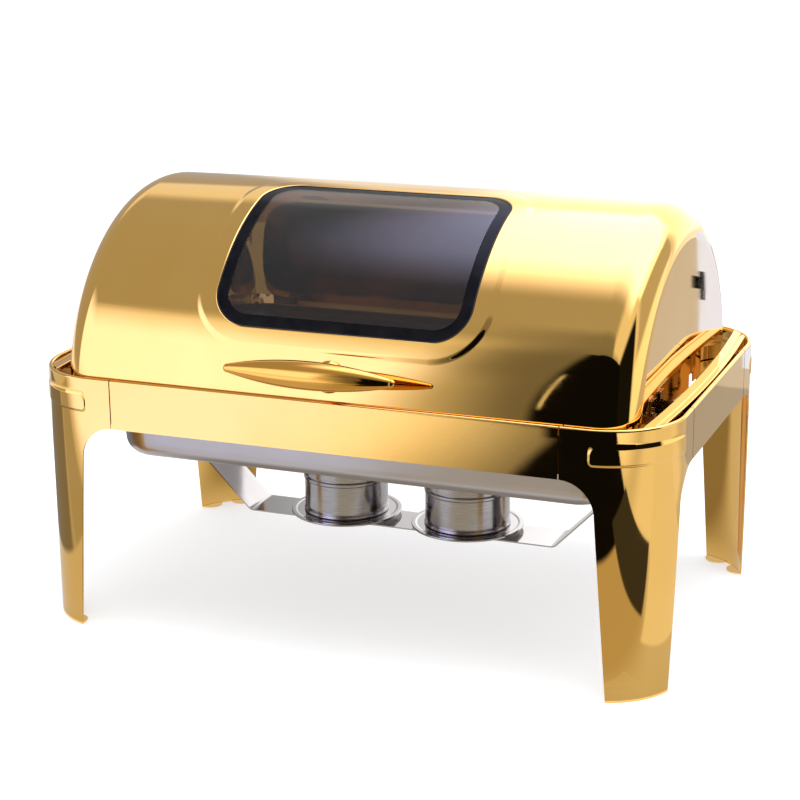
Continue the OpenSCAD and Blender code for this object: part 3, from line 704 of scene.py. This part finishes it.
SHEET = 0.0015
CORNER_R = 0.076
SEAM = 0.100  # distance of the seams from the frame's corners
SEAM_GAP = 0.0006  # half the width of the slit at a seam
BEAD_R = 0.0023
BEAD_Z = FRAME_TOP - BEAD_R
BEAD_TURN = 235  # degrees
BAND_Z0, BAND_Z1 = FRAME_TOP - 0.035, FRAME_TOP - 0.012
BAND_HALF = 0.0566
BAND_ROUND = 0.005
BAND_SHARP, BAND_SOFTER = 0.0024, 0.0090  # width of its lower edge's slope; more at its top
LEG_TOP_W, LEG_FOOT_W, LEG_SIDE_LESS = 0.066, 0.053, 0.004
ARCH_R = 0.034
ARCH_Z = RAIL_Z0 - ARCH_R
ARCH_STEPS = 14
TAB_W, TAB_REACH = 0.026, 0.024
QUARTER = CORNER_R * math.pi / 4
FINE_FROM, FINE_TO = 0.62, 0.74  # shares of a leg's half width, finely divided for the band's end


def corner_plan(p):
    """Outer plan line round the rear right corner: p is 0 in its middle, minus to the long side."""
    p = np.asarray(p, float)
    turn = np.clip(math.pi / 4 - p / CORNER_R, 0, math.pi / 2)
    n = np.stack([np.cos(turn), np.sin(turn)], -1)
    xy = np.array([FRAME_X - CORNER_R, FRAME_Y - CORNER_R]) + CORNER_R * n
    xy[..., 0] -= np.maximum(0, -p - QUARTER)
    xy[..., 1] -= np.maximum(0, p - QUARTER)
    return xy, n


def plan_distance(a):
    """Distance along the plan line from the corner's middle to where it is a from the corner."""
    if a >= CORNER_R:
        return QUARTER + a - CORNER_R
    return CORNER_R * math.acos(1 - a / CORNER_R) - QUARTER


def band(p, z):
    """How far the corner band stands out: sharp below and at its ends, soft at its top."""
    mid, half = (BAND_Z0 + BAND_Z1) / 2, (BAND_Z1 - BAND_Z0) / 2
    qx = np.abs(p) - (BAND_HALF - BAND_ROUND)
    qz = np.abs(z - mid) - (half - BAND_ROUND)
    d = np.hypot(np.maximum(qx, 0), np.maximum(qz, 0)) + np.minimum(np.maximum(qx, qz), 0)
    width = BAND_SHARP + BAND_SOFTER * smooth((z - mid) / half)
    return BAND_OUT * smooth(-(d - BAND_ROUND) / width)


def bead_angles():
    """Angles round the rolled bead, from the wall's outside over the top and back in."""
    return np.radians(np.linspace(0, BEAD_TURN, 16))


def wall_heights():
    """Heights of a leg's rows, close together along the band's lower and upper edges."""
    low_end, high_start = BAND_Z0 + 0.0034, BAND_Z1 - 0.009
    wall = list(np.linspace(0, ARCH_Z, 13))
    for k in range(1, ARCH_STEPS + 1):
        wall.append(ARCH_Z + ARCH_R * math.sin(math.pi / 2 * k / ARCH_STEPS))
    wall.append(0.5 * (RAIL_Z0 + BAND_Z0))
    wall += list(np.linspace(BAND_Z0 - 0.0006, low_end, 11))
    wall += list(np.linspace(low_end, high_start, 5)[1:])
    wall += list(np.linspace(high_start, BAND_Z1 + 0.0008, 16)[1:])
    wall.append(0.5 * (BAND_Z1 + BEAD_Z))
    return wall


def leg_width(z, top, foot):
    """Width of a leg from the corner at a height, up through the arch."""
    if z <= ARCH_Z:
        return foot + (top - foot) * z / ARCH_Z
    if z < RAIL_Z0 - 1e-9:
        return top + ARCH_R - math.sqrt(max(ARCH_R ** 2 - (z - ARCH_Z) ** 2, 0))
    return SEAM


def foot_tab(piece, long_side, flip):
    """A tab bent in from the foot of one face, rounded at its end."""
    length, wall_at = (FRAME_X, FRAME_Y) if long_side else (FRAME_Y, FRAME_X)
    start = length - LEG_FOOT_W + (0 if long_side else LEG_SIDE_LESS)
    u = np.linspace(-1, 1, 25)
    depth = TAB_REACH - TAB_W / 2 + TAB_W / 2 * np.sqrt(np.maximum(1 - u ** 2, 0))
    across = start + TAB_W / 2 * (1 + u)
    bulge = CORNER_R - length + across
    wall_in = wall_at - CORNER_R + np.sqrt(CORNER_R ** 2 - np.maximum(bulge, 0) ** 2) - SHEET / 2
    end_in = np.minimum(wall_at - depth, wall_in - SHEET)
    rows = []
    for f in np.linspace(0, 1, 9):
        inward = wall_in + (end_in - wall_in) * f
        rows.append(np.column_stack([across, inward] if long_side else [inward, across]))
    rows = np.array(rows)
    P = np.concatenate([rows, np.full(rows.shape[:2] + (1,), SHEET)], -1) * flip + MIDDLE
    piece.sheet(P, np.broadcast_to([0, 0, 1.0], P.shape), SHEET - 0.0002)


def build_leg(name, sx, sy):
    """Corner leg: sheet round the corner with the raised band, the arch, the bead and two tabs."""
    edge = np.concatenate([np.linspace(-1, -FINE_TO, 7), np.linspace(-FINE_TO, -FINE_FROM, 15)[1:]])
    cols = np.concatenate([edge, np.linspace(-FINE_FROM, FINE_FROM, 45)[1:-1], -edge[::-1]])
    widest = SEAM - SEAM_GAP
    h = 1e-5  # step for the band's slopes
    P, N = [], []

    def plan(z):
        long_w = min(leg_width(z, LEG_TOP_W, LEG_FOOT_W), widest)
        side_w = min(leg_width(z, LEG_TOP_W - LEG_SIDE_LESS, LEG_FOOT_W - LEG_SIDE_LESS), widest)
        p = np.where(cols < 0, cols * plan_distance(long_w), cols * plan_distance(side_w))
        return p, *corner_plan(p)

    for z in wall_heights():
        p, xy, n = plan(z)
        out = band(p, z)
        gp = (band(p + h, z) - band(p - h, z)) / (2 * h)
        gz = (band(p, z + h) - band(p, z - h)) / (2 * h)
        tangent = np.column_stack([n[:, 1], -n[:, 0]])
        P.append(np.column_stack([xy + n * out[:, None], np.full(len(p), z)]))
        N.append(np.column_stack([n - tangent * gp[:, None], -gz]))
    for b in bead_angles():
        p, xy, n = plan(BEAD_Z)
        inset, up = BEAD_R * (1 - math.cos(b)), BEAD_R * math.sin(b)
        P.append(np.column_stack([xy - n * inset, np.full(len(p), BEAD_Z + up)]))
        N.append(np.column_stack([n * math.cos(b), np.full(len(p), math.sin(b))]))
    flip = np.array([sx, sy, 1.0])
    piece = Piece()
    piece.sheet(np.array(P) * flip + MIDDLE, unit(np.array(N)) * flip, SHEET)
    for long_side in (True, False):
        foot_tab(piece, long_side, flip)
    piece.object(name, "frame", "gold")


def build_rail(name, run, wall_at, turn):
    """Straight rail with the bead along its top, turned to its side of the frame."""
    xs = np.linspace(-run, run, 33)
    section = [(wall_at, z, 1, 0) for z in np.linspace(RAIL_Z0, BEAD_Z, 9)]
    for b in bead_angles()[1:]:
        y, z = wall_at - BEAD_R * (1 - math.cos(b)), BEAD_Z + BEAD_R * math.sin(b)
        section.append((y, z, math.cos(b), math.sin(b)))
    P = [[(x, y, z) for x in xs] for y, z, _, _ in section]
    N = [[(0, ny, nz)] * len(xs) for _, _, ny, nz in section]
    M = np.array(Matrix.Rotation(turn, 3, "Z"))
    piece = Piece()
    piece.sheet(np.array(P) @ M.T + MIDDLE, np.array(N, float) @ M.T, SHEET)
    piece.object(name, "frame", "gold")


# ---- end brackets

STRIP_IN, STRIP_OUT = 0.308, strip_hi.x
STRIP_BOW, STRIP_HALF = 0.006, 0.165
STRIP_T = 0.0012
BOW_R = (STRIP_HALF ** 2 + STRIP_BOW ** 2) / (2 * STRIP_BOW)


def bow(y):
    """How far the bowed line has come in at y from its middle."""
    return BOW_R - np.sqrt(BOW_R ** 2 - y ** 2)


def strip_end(x_mid):
    """Half length of a bowed line that starts at x_mid, up to the inside of the legs' beads."""
    y = STRIP_HALF
    cx, cy, r = FRAME_X - CORNER_R, FRAME_Y - CORNER_R, CORNER_R - 2 * BEAD_R - 0.0002
    for _ in range(30):
        y = cy + math.sqrt(max(r * r - (x_mid - bow(y) - cx) ** 2, 0))
    return y


def build_strip(name, sx):
    """Bowed strip: a turned-down inner edge, a flat with a pressed groove, and a web."""
    outer = STRIP_OUT - STRIP_IN
    edge_z, flat_z, groove_z = FRAME_TOP - 0.0045, FRAME_TOP - 0.0003, FRAME_TOP - 0.0016
    path, nor = rounded_path(
        [(0, edge_z), (0, FRAME_TOP), (0.0086, FRAME_TOP - 0.0002), (0.0096, groove_z),
         (0.0106, groove_z), (0.0114, flat_z), (outer, flat_z), (outer, RAIL_Z0 + 0.001)],
        [0, 0.0012, 0.0008, 0.0005, 0.0005, 0.0006, 0.0012, 0], 4)
    share = np.linspace(-1, 1, 61)
    P, N = [], []
    for (u, z), (nu, nz) in zip(path, nor):
        y = share * strip_end(STRIP_IN + u)
        lean = y / BOW_R
        P.append(np.column_stack([STRIP_IN + u - bow(y), y, np.full(len(y), z)]))
        N.append(np.column_stack([nu * np.cos(lean), nu * np.sin(lean), np.full(len(y), nz)]))
    flip = np.array([sx, 1.0, 1.0])
    piece = Piece()
    piece.sheet(np.array(P) * flip + MIDDLE, np.array(N) * flip, STRIP_T)
    piece.object(name, "frame", "gold")


# ---- pans

PAN_T = 0.001
PAN_ROLL = 0.0010  # radius of the rim's turned-down edge
PAN_BEND = 0.004  # radius from the rim down into the wall
LOOP_CORNER, LOOP_SIDE = 14, 8


def round_loop(hx, hy, r):
    """Points of a rounded rectangle, always the same number of them."""
    pts = []
    signs = ((1, 1), (-1, 1), (-1, -1), (1, -1))
    for k, (sx, sy) in enumerate(signs):
        for j in range(LOOP_CORNER + 1):
            t = math.pi / 2 * (k + j / LOOP_CORNER)
            pts.append((sx * (hx - r) + r * math.cos(t), sy * (hy - r) + r * math.sin(t)))
        a = np.array(pts[-1])
        sx, sy = signs[(k + 1) % 4]
        t = math.pi / 2 * (k + 1)
        b = np.array([sx * (hx - r) + r * math.cos(t), sy * (hy - r) + r * math.sin(t)])
        for j in range(1, LOOP_SIDE):
            pts.append(tuple(a + (b - a) * j / LOOP_SIDE))
    return np.array(pts)


def build_pan(name, z_low, z_rim, rim, top, low, edge_r):
    """A pressed pan: rim with its edge turned down, drafted walls and a rounded bottom edge.

    rim, top and low are rounded rectangles (half length, half width, corner radius).
    """
    loops = []

    def loop(shape, z, grow=0.0):
        hx, hy, r = shape
        pts = round_loop(hx + grow, hy + grow, r + grow)
        loops.append(np.column_stack([pts, np.full(len(pts), z)]))

    # Under the rim, round the rolled edge, over the rim and down the inside of the wall
    for k in range(7):
        b = math.radians(-20 + 110 * k / 6)
        loop(rim, z_rim - PAN_ROLL + PAN_ROLL * math.sin(b), -PAN_ROLL + PAN_ROLL * math.cos(b))
    for k in range(7):
        b = math.pi / 2 * k / 6
        inset = PAN_BEND - PAN_T - PAN_BEND * math.sin(b)
        loop(top, z_rim - PAN_BEND + PAN_BEND * math.cos(b), inset)
    depth = z_rim - PAN_BEND - (z_low + edge_r)
    for f in np.linspace(0, 1, 9)[1:]:
        loop([a + (b - a) * f for a, b in zip(top, low)], z_rim - PAN_BEND - depth * f, -PAN_T)
    inner = edge_r - PAN_T
    for k in range(1, 9):
        b = math.pi / 2 * k / 8
        loop(low, z_low + edge_r - inner * math.sin(b), -PAN_T - inner * (1 - math.cos(b)))
    hx, hy, r = low
    for f in (0.75, 0.5, 0.25, 0.04):
        loop([(hx - edge_r) * f, (hy - edge_r) * f, max(r - edge_r, 0.01) * f], z_low + PAN_T)
    P = np.array(loops) + MIDDLE
    N = surface_normals(P)
    if N[-2, 0, 2] < 0:
        N = -N
    piece = Piece()
    piece.sheet(P, N, PAN_T, wrap_v=True)
    last = P[-1]
    for z, up in ((0, 1), (-PAN_T, -1)):
        verts = last + np.array([0, 0, z])
        piece.add(verts, [list(range(len(last)))], [np.array([0, 0, float(up)])] * len(last))
    piece.object(name, name, "stainless", SATIN)


# ---- burners

BAR_T = 0.0015
BAR_HALF = (bar_hi.y - bar_lo.y) / 2
BAR_Z = bar_lo.z
BAR_FLAT = 0.170
BAR_END = (0.306, RAIL_Z0 + 0.0015)
NOTCH_HALF, NOTCH_UP = 0.010, 0.0025  # the tongues' gap for the pivots starts above the bend
NOTCH_SHARE = 0.4  # the middle columns, moved in to the notch's width
CUP_X = (cup_lo.x + cup_hi.x) / 2
CUP_R = (cup_hi.x - cup_lo.x) / 2
CUP_T = 0.001
AXIS_R = 0.004  # where the turned outlines stop: the plate is capped there, the cup's floor is not
COVER_T, COVER_SKIRT, COVER_HOLE = 0.0008, 0.0090, 0.024
FINGER_W, FINGER_OUT, FINGER_DOWN = 0.012, 0.011, 0.0128


def build_bar():
    """Burner strip: flat, bent up at both ends, with tongues that pass the pivots."""
    tab_x = bar_hi.x
    half = [(BAR_FLAT, BAR_Z), BAR_END, (tab_x, BAR_END[1]), (tab_x, bar_hi.z)]
    path, nor = rounded_path([(-x, z) for x, z in half[::-1]] + half,
                             [0, 0.003, 0.006, 0.009, 0.009, 0.006, 0.003, 0], 7)
    ys = np.concatenate([np.linspace(-1, -NOTCH_SHARE, 5),
                         np.linspace(-NOTCH_SHARE, NOTCH_SHARE, 5)[1:-1],
                         np.linspace(NOTCH_SHARE, 1, 5)])
    ys = np.where(np.abs(ys) <= NOTCH_SHARE, ys / NOTCH_SHARE * NOTCH_HALF / BAR_HALF, ys)
    P = np.array([[(x, y * BAR_HALF, z) for y in ys] for x, z in path])
    N = np.array([[(-n[0], 0, -n[1])] * len(ys) for n in nor])
    high = np.minimum(path[:-1, 1], path[1:, 1]) > BAR_END[1] + NOTCH_UP
    inside = np.abs(ys[:-1] + ys[1:]) / 2 * BAR_HALF < NOTCH_HALF
    piece = Piece()
    piece.sheet(P + MIDDLE, N, BAR_T, keep=~(high[:, None] & inside))
    piece.object("burner_bar", "frame", "stainless")


def cup_place(sx):
    """Places a cup's axis."""
    return Matrix.Translation(Vector((sx * CUP_X, Y_MID, 0)))


def build_plate(side, sx):
    """Round plate under a cup, with a rolled edge."""
    r, z0, z1 = (plate_hi.x - plate_lo.x) / 2, plate_lo.z, plate_hi.z
    plate = Piece()
    plate.lathe([(AXIS_R, z0), (r - 0.003, z0), (r - 0.0022, z0 - 0.0006), (r, z0 - 0.0006),
                 (r, z1), (r - 0.004, z1), (r - 0.006, z1 - 0.0004), (AXIS_R, z1 - 0.0004)],
                [0, 0.001, 0.0006, 0.0005, 0.0007, 0.003, 0.003, 0], cup_place(sx), closed=False)
    plate.object("plate_" + side, "frame", "stainless")


def build_cup(side, sx):
    """Fuel cup: foot bead, wall, and a pressed groove under the cover."""
    z0, z1 = cup_lo.z, cup_hi.z
    r = CUP_R - 0.0005
    wall, neck, brim = r - 0.0012, r - 0.0014, z1 - 0.0002
    cup = Piece()
    cup.lathe([(AXIS_R, z0), (r - 0.0006, z0), (r, z0 + 0.0012), (r - 0.0010, z0 + 0.0030),
               (wall, z1 - 0.0150), (r - 0.0001, z1 - 0.0140), (r - 0.0001, z1 - 0.0115),
               (neck, z1 - 0.0100), (neck, brim), (neck - CUP_T, brim),
               (neck - CUP_T, z0 + CUP_T), (AXIS_R, z0 + CUP_T)],
              [0, 0.0004, 0.0006, 0.0008, 0.0006, 0.0004, 0.0004, 0.0006, 0.0003, 0.0003, 0.002, 0],
              cup_place(sx))
    name = "fuel_cup_" + side
    cup.object(name, name, "cup_steel")


def build_cover(side, sx):
    """Cover that turns on the cup, with a rolled hole and a finger tab."""
    name = "cup_cover_" + side
    lo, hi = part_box("cup_cover_" + side)
    z1 = hi.z
    r, hole, t = CUP_R + 0.0004, COVER_HOLE, COVER_T
    skirt_z = z1 - COVER_SKIRT - 0.0003
    cover = Piece()
    cover.lathe([(hole, z1 - 0.0022), (hole, z1 - 0.0004), (hole + 0.0030, z1 - 0.0004),
                 (hole + 0.0050, z1 - 0.0012), (r - 0.0060, z1 - 0.0012), (r - 0.0046, z1),
                 (r, z1), (r, skirt_z), (r - t, skirt_z), (r - t, z1 - t),
                 (r - 0.0048, z1 - t), (r - 0.0062, z1 - 0.0020), (hole + 0.0052, z1 - 0.0020),
                 (hole + 0.0032, z1 - 0.0012), (hole + t, z1 - 0.0012), (hole + t, z1 - 0.0022)],
                [0.0003, 0.0006, 0.001, 0.001, 0.0008, 0.0008, 0.0014, 0.0003, 0.0003, 0.0006,
                 0.0006, 0.0006, 0.0006, 0.0006, 0.0004, 0.0003], cup_place(sx))
    x = sx * CUP_X
    turn = math.atan2((lo.y + hi.y) / 2 - Y_MID, (lo.x + hi.x) / 2 - x)
    path, nor = rounded_path([(r - 0.0004, z1 - 0.0002), (r + 0.0022, z1 - 0.0006),
                              (r + 0.0008 + FINGER_OUT, z1 - FINGER_DOWN)], [0, 0.0016, 0], 6)
    across = np.linspace(-1, 1, 13)
    P = np.array([[(pr, FINGER_W / 2 * a, pz) for a in across] for pr, pz in path])
    N = np.array([[(nr, 0, nz)] * len(across) for nr, nz in nor], float)
    M = np.array(Matrix.Rotation(turn, 3, "Z"))
    cover.sheet(P @ M.T + np.array([x, Y_MID, 0]), N @ M.T, t)
    cover.object(name, name, "cup_steel")


# ---- everything

build_lid()
build_window()
build_grip()
build_stem()
for name, sx, sy in (("leg_rear_right", 1, 1), ("leg_rear_left", -1, 1),
                     ("leg_front_right", 1, -1), ("leg_front_left", -1, -1)):
    build_leg(name, sx, sy)
long_run, short_run = FRAME_X - SEAM - SEAM_GAP, FRAME_Y - SEAM - SEAM_GAP
build_rail("rail_rear", long_run, FRAME_Y, 0)
build_rail("rail_front", long_run, FRAME_Y, math.pi)
build_rail("rail_left", short_run, FRAME_X, math.pi / 2)
build_rail("rail_right", short_run, FRAME_X, -math.pi / 2)
build_strip("bracket_left", -1)
build_strip("bracket_right", 1)
build_pan("water_pan", water_lo.z, water_hi.z, (0.2735, 0.1765, 0.0555),
          (0.265, 0.160, 0.042), (0.260, 0.153, 0.038), 0.018)
build_pan("food_pan", food_lo.z, food_hi.z, (food_hi.x, (food_hi.y - food_lo.y) / 2, 0.058),
          (0.252, 0.149, 0.045), (0.224, 0.132, 0.035), 0.014)
build_bar()
for side, sx in (("left", -1), ("right", 1)):
    build_plate(side, sx)
    build_cup(side, sx)
    build_cover(side, sx)

# CAD nodes that stay: their slot's material, except the splice plates, whose dark gold is painted
# shade for the slits at the seams; smooth where they are round
slots = {row["node"]: row["material_slot"] for row in frame["record"]["subparts"]}
for name, ob in frame["nodes"].items():
    if ob.hide_render:
        continue
    which = slots[name]
    ob.data.materials.clear()
    ob.data.materials.append(GOLD_PAINTED_SHADE if name == "splice_plates" else SLOT_MATERIAL[which])
    ob.data.polygons.foreach_set("use_smooth", [True] * len(ob.data.polygons))
    ob.data.set_sharp_from_angle(angle=math.radians(35))

# ---- stage


def rectangle(name, x0, y0, x1, y1):
    """A flat rectangle of the stage."""
    me = bpy.data.meshes.new(name)
    me.from_pydata([(x0, y0, 0), (x1, y0, 0), (x1, y1, 0), (x0, y1, 0)], [], [[0, 1, 2, 3]])
    ob = bpy.data.objects.new(name, me)
    scene.collection.objects.link(ob)
    return ob


def soft_card(name, centre, towards, half, fade, glow, tint=(1, 1, 1)):
    """A glowing panel that only reflections see; it fades out over its edges."""
    ob = rectangle(name, -1, -1, 1, 1)
    direction = Vector(towards) - Vector(centre)
    ob.rotation_mode = "QUATERNION"
    ob.rotation_quaternion = direction.to_track_quat("Z", "Y")
    ob.location = centre
    ob.scale = (*half, 1)
    m = bpy.data.materials.new(name)
    m.use_nodes = True
    tree = m.node_tree
    link = tree.links.new
    tree.nodes.clear()
    out = add_node(tree, "OutputMaterial")
    blend = add_node(tree, "MixShader")
    clear = add_node(tree, "BsdfTransparent")
    light = add_node(tree, "Emission", Strength=glow, Color=(*tint, 1))
    where = add_node(tree, "TexCoord")
    split = add_node(tree, "SeparateXYZ")
    link(where.outputs["Object"], split.inputs[0])
    both = add_node(tree, "Math")
    both.operation = "MULTIPLY"
    for k in (0, 1):
        size = add_node(tree, "Math")
        size.operation = "ABSOLUTE"
        link(split.outputs[k], size.inputs[0])
        edge = remap(tree, size.outputs[0], 1 - fade[k] / half[k], 1.0, 1.0, 0.0)
        edge.interpolation_type = "SMOOTHSTEP"
        link(edge.outputs["Result"], both.inputs[k])
    link(both.outputs[0], blend.inputs["Fac"])
    link(clear.outputs[0], blend.inputs[1])
    link(light.outputs[0], blend.inputs[2])
    link(blend.outputs[0], out.inputs["Surface"])
    ob.data.materials.append(m)
    ob.visible_camera = ob.visible_diffuse = ob.visible_shadow = False
    ob.visible_transmission = False


def front_card(name, centre, *rest):
    """A soft card that faces along y."""
    soft_card(name, centre, (centre[0], 0, centre[2]), *rest)


def floor_card(name, centre, *rest):
    """A soft card just above the floor that faces straight up."""
    soft_card(name, centre, (centre[0], centre[1], HIGH_UP), *rest)


HIGH_UP = 30
floor = rectangle("floor", -14, -10, 14, 26)
paint = Finish("pale_floor", (0.6, 0.6, 0.6), roughness=0.9,
               Emission_Color=(1, 1, 1, 1), Emission_Strength=0.5)
paint.vary_colour(paint.noise(paint.coords(), 2.0, 3.0), (0.59, 0.59, 0.59), (0.61, 0.61, 0.61))
floor.data.materials.append(paint.material)

# Overhead and round the sides. Each row: centre, what it faces, half size, fade, glow, tint
soft_card("ceiling", (-1.4, -0.3, 2.3), (-1.4, -0.3, 0), (3.0, 2.2), (0.6, 0.6), 0.48)
soft_card("bank_over", (0.575, 0.84, 1.75), (0.575, 0.84, 0), (1.325, 1.46), (0.45, 0.84), 3.2,
          (1, 1, 1.4))
soft_card("bank_left", (-1.95, -2.0, 1.00), (0, 0, 0.85), (1.50, 1.45), (0.30, 1.00), 1.75,
          (1, 1.05, 1.65))
soft_card("bank_back", (0.45, 3.2, 1.5), (0, 0, 0.4), (1.75, 1.6), (0.4, 0.4), 1.8)
soft_card("back_left", (-3.2, 3.0, 1.2), (0, 0, 0.4), (1.9, 1.5), (0.4, 0.4), 0.48)
soft_card("left", (-3.0, 0.1, 1.1), (0, 0.1, 1.1), (2.2, 1.3), (0.5, 0.4), 0.48)
soft_card("right_bright", (2.0, 1.7, 2.4), (0, 0, 0.4), (1.8, 0.95), (0.4, 0.4), 2.8)
soft_card("right_mid", (2.2, 1.6, 1.15), (0, 1.6, 1.15), (1.5, 0.80), (0.3, 0.3), 0.60)
soft_card("right_low", (2.0, 1.5, 0.20), (0, 1.5, 0.20), (1.45, 0.50), (0.12, 0.25), 1.45)
soft_card("right_dark", (1.75, -1.12, 0.55), (0, -1.12, 0.55), (1.14, 0.92), (0.12, 0.25), 0.01)
soft_card("grey_front", (0.35, -1.6, 1.60), (0.35, 0, 1.3), (0.95, 0.80), (0.35, 0.4), 0.27)

# In front: a dim panel and a black flag before it, with the thin bright gap beside the flag
front_card("shade_front", (0.55, -1.00, 0.50), (0.87, 0.75), (0.27, 0.3), 0.20)
front_card("flag_front", (0.70, -0.95, 0.49), (0.735, 0.55), (0.02, 0.02), 0.005)
front_card("flag_gap", (-0.012, -0.94, 0.57), (0.0035, 0.19), (0.0015, 0.06), 0.75)

# On the floor: under the object, then to the front, right and left, and the flag's lower end
floor_card("floor_grey", (0.1, 0.85, 0.002), (1.9, 1.75), (0.4, 0.4), 0.70)
floor_card("floor_under", (0, 0.02, 0.003), (0.34, 0.24), (0.12, 0.12), 0.30, (1, 0.88, 0.7))
floor_card("floor_front", (0.22, -0.42, 0.003), (0.36, 0.26), (0.10, 0.10), 0.55, (1, 0.88, 0.65))
floor_card("floor_right", (1.20, -0.05, 0.003), (0.55, 0.55), (0.10, 0.2), 1.0)
floor_card("floor_glare", (1.08, 0, 0.0035), (0.66, 0.22), (0.015, 0.02), 0.95)
floor_card("floor_left", (-0.83, 0.06, 0.003), (0.36, 0.32), (0.03, 0.06), 0.24)
floor_card("floor_left_front", (-0.83, -0.36, 0.0035), (0.36, 0.14), (0.03, 0.05), 0.46)
floor_card("floor_pale", (-0.80, -0.92, 0.004), (0.70, 0.45), (0.36, 0.25), 1.5, (1, 1.08, 1.8))
floor_card("floor_shade", (0.25, -1.10, 0.005), (0.52, 0.55), (0.30, 0.1), 0.20)
floor_card("floor_dark", (0.335, -0.96, 0.006), (0.36, 0.45), (0.025, 0.03), 0.005)
floor_card("floor_wedge", (0.592, -0.42, 0.007), (0.118, 0.20), (0.015, 0.015), 0.05)
floor_card("floor_side", (0.50, 0.70, 0.006), (0.13, 0.19), (0.02, 0.015), 0.48)

# Behind: the pale edge of a wall, with a small black clamp against it
front_card("back_edge", (0.435, 1.0, 0.13), (0.075, 0.17), (0.002, 0.02), 0.95, (1, 1.25, 2))
front_card("clamp_bar", (0.5027, 0.995, 0.122), (0.0042, 0.022), (0.0004, 0.001), 0.003)
front_card("clamp_knob", (0.5118, 0.995, 0.126), (0.0060, 0.010), (0.0004, 0.001), 0.003)

world = bpy.data.worlds.new("studio")
scene.world = world
world.use_nodes = True
set_inputs(world.node_tree.nodes["Background"], {"Color": (1, 1, 1, 1), "Strength": 1.0})

key_light = bpy.data.lights.new("key", "AREA")
key_light.shape = "RECTANGLE"
key_light.size, key_light.size_y = 2.4, 2.0
key_light.energy = 60
key = bpy.data.objects.new("key", key_light)
scene.collection.objects.link(key)
key.location = (0.6, -0.4, 3.2)
key.rotation_mode = "QUATERNION"
key.rotation_quaternion = (Vector((0, 0.1, 0.2)) - key.location).to_track_quat("-Z", "Y")
key.visible_glossy = False

scene.view_settings.view_transform = "Standard"
scene.view_settings.look = "None"

# ---- camera

CAMERA_AT = (0.7397, -1.8656, 0.8033)
YAW, PITCH, ROLL = 0.376, 0.285, -0.010  # radians
cam_data = bpy.data.cameras.new("camera")
cam_data.lens, cam_data.sensor_width = 91.9, 36
cam_data.clip_end = 60
camera = bpy.data.objects.new("camera", cam_data)
scene.collection.objects.link(camera)
turn = (Matrix.Rotation(YAW, 4, "Z") @ Matrix.Rotation(math.pi / 2 - PITCH, 4, "X")
        @ Matrix.Rotation(ROLL, 4, "Z"))
camera.matrix_world = Matrix.Translation(CAMERA_AT) @ turn
scene.camera = camera
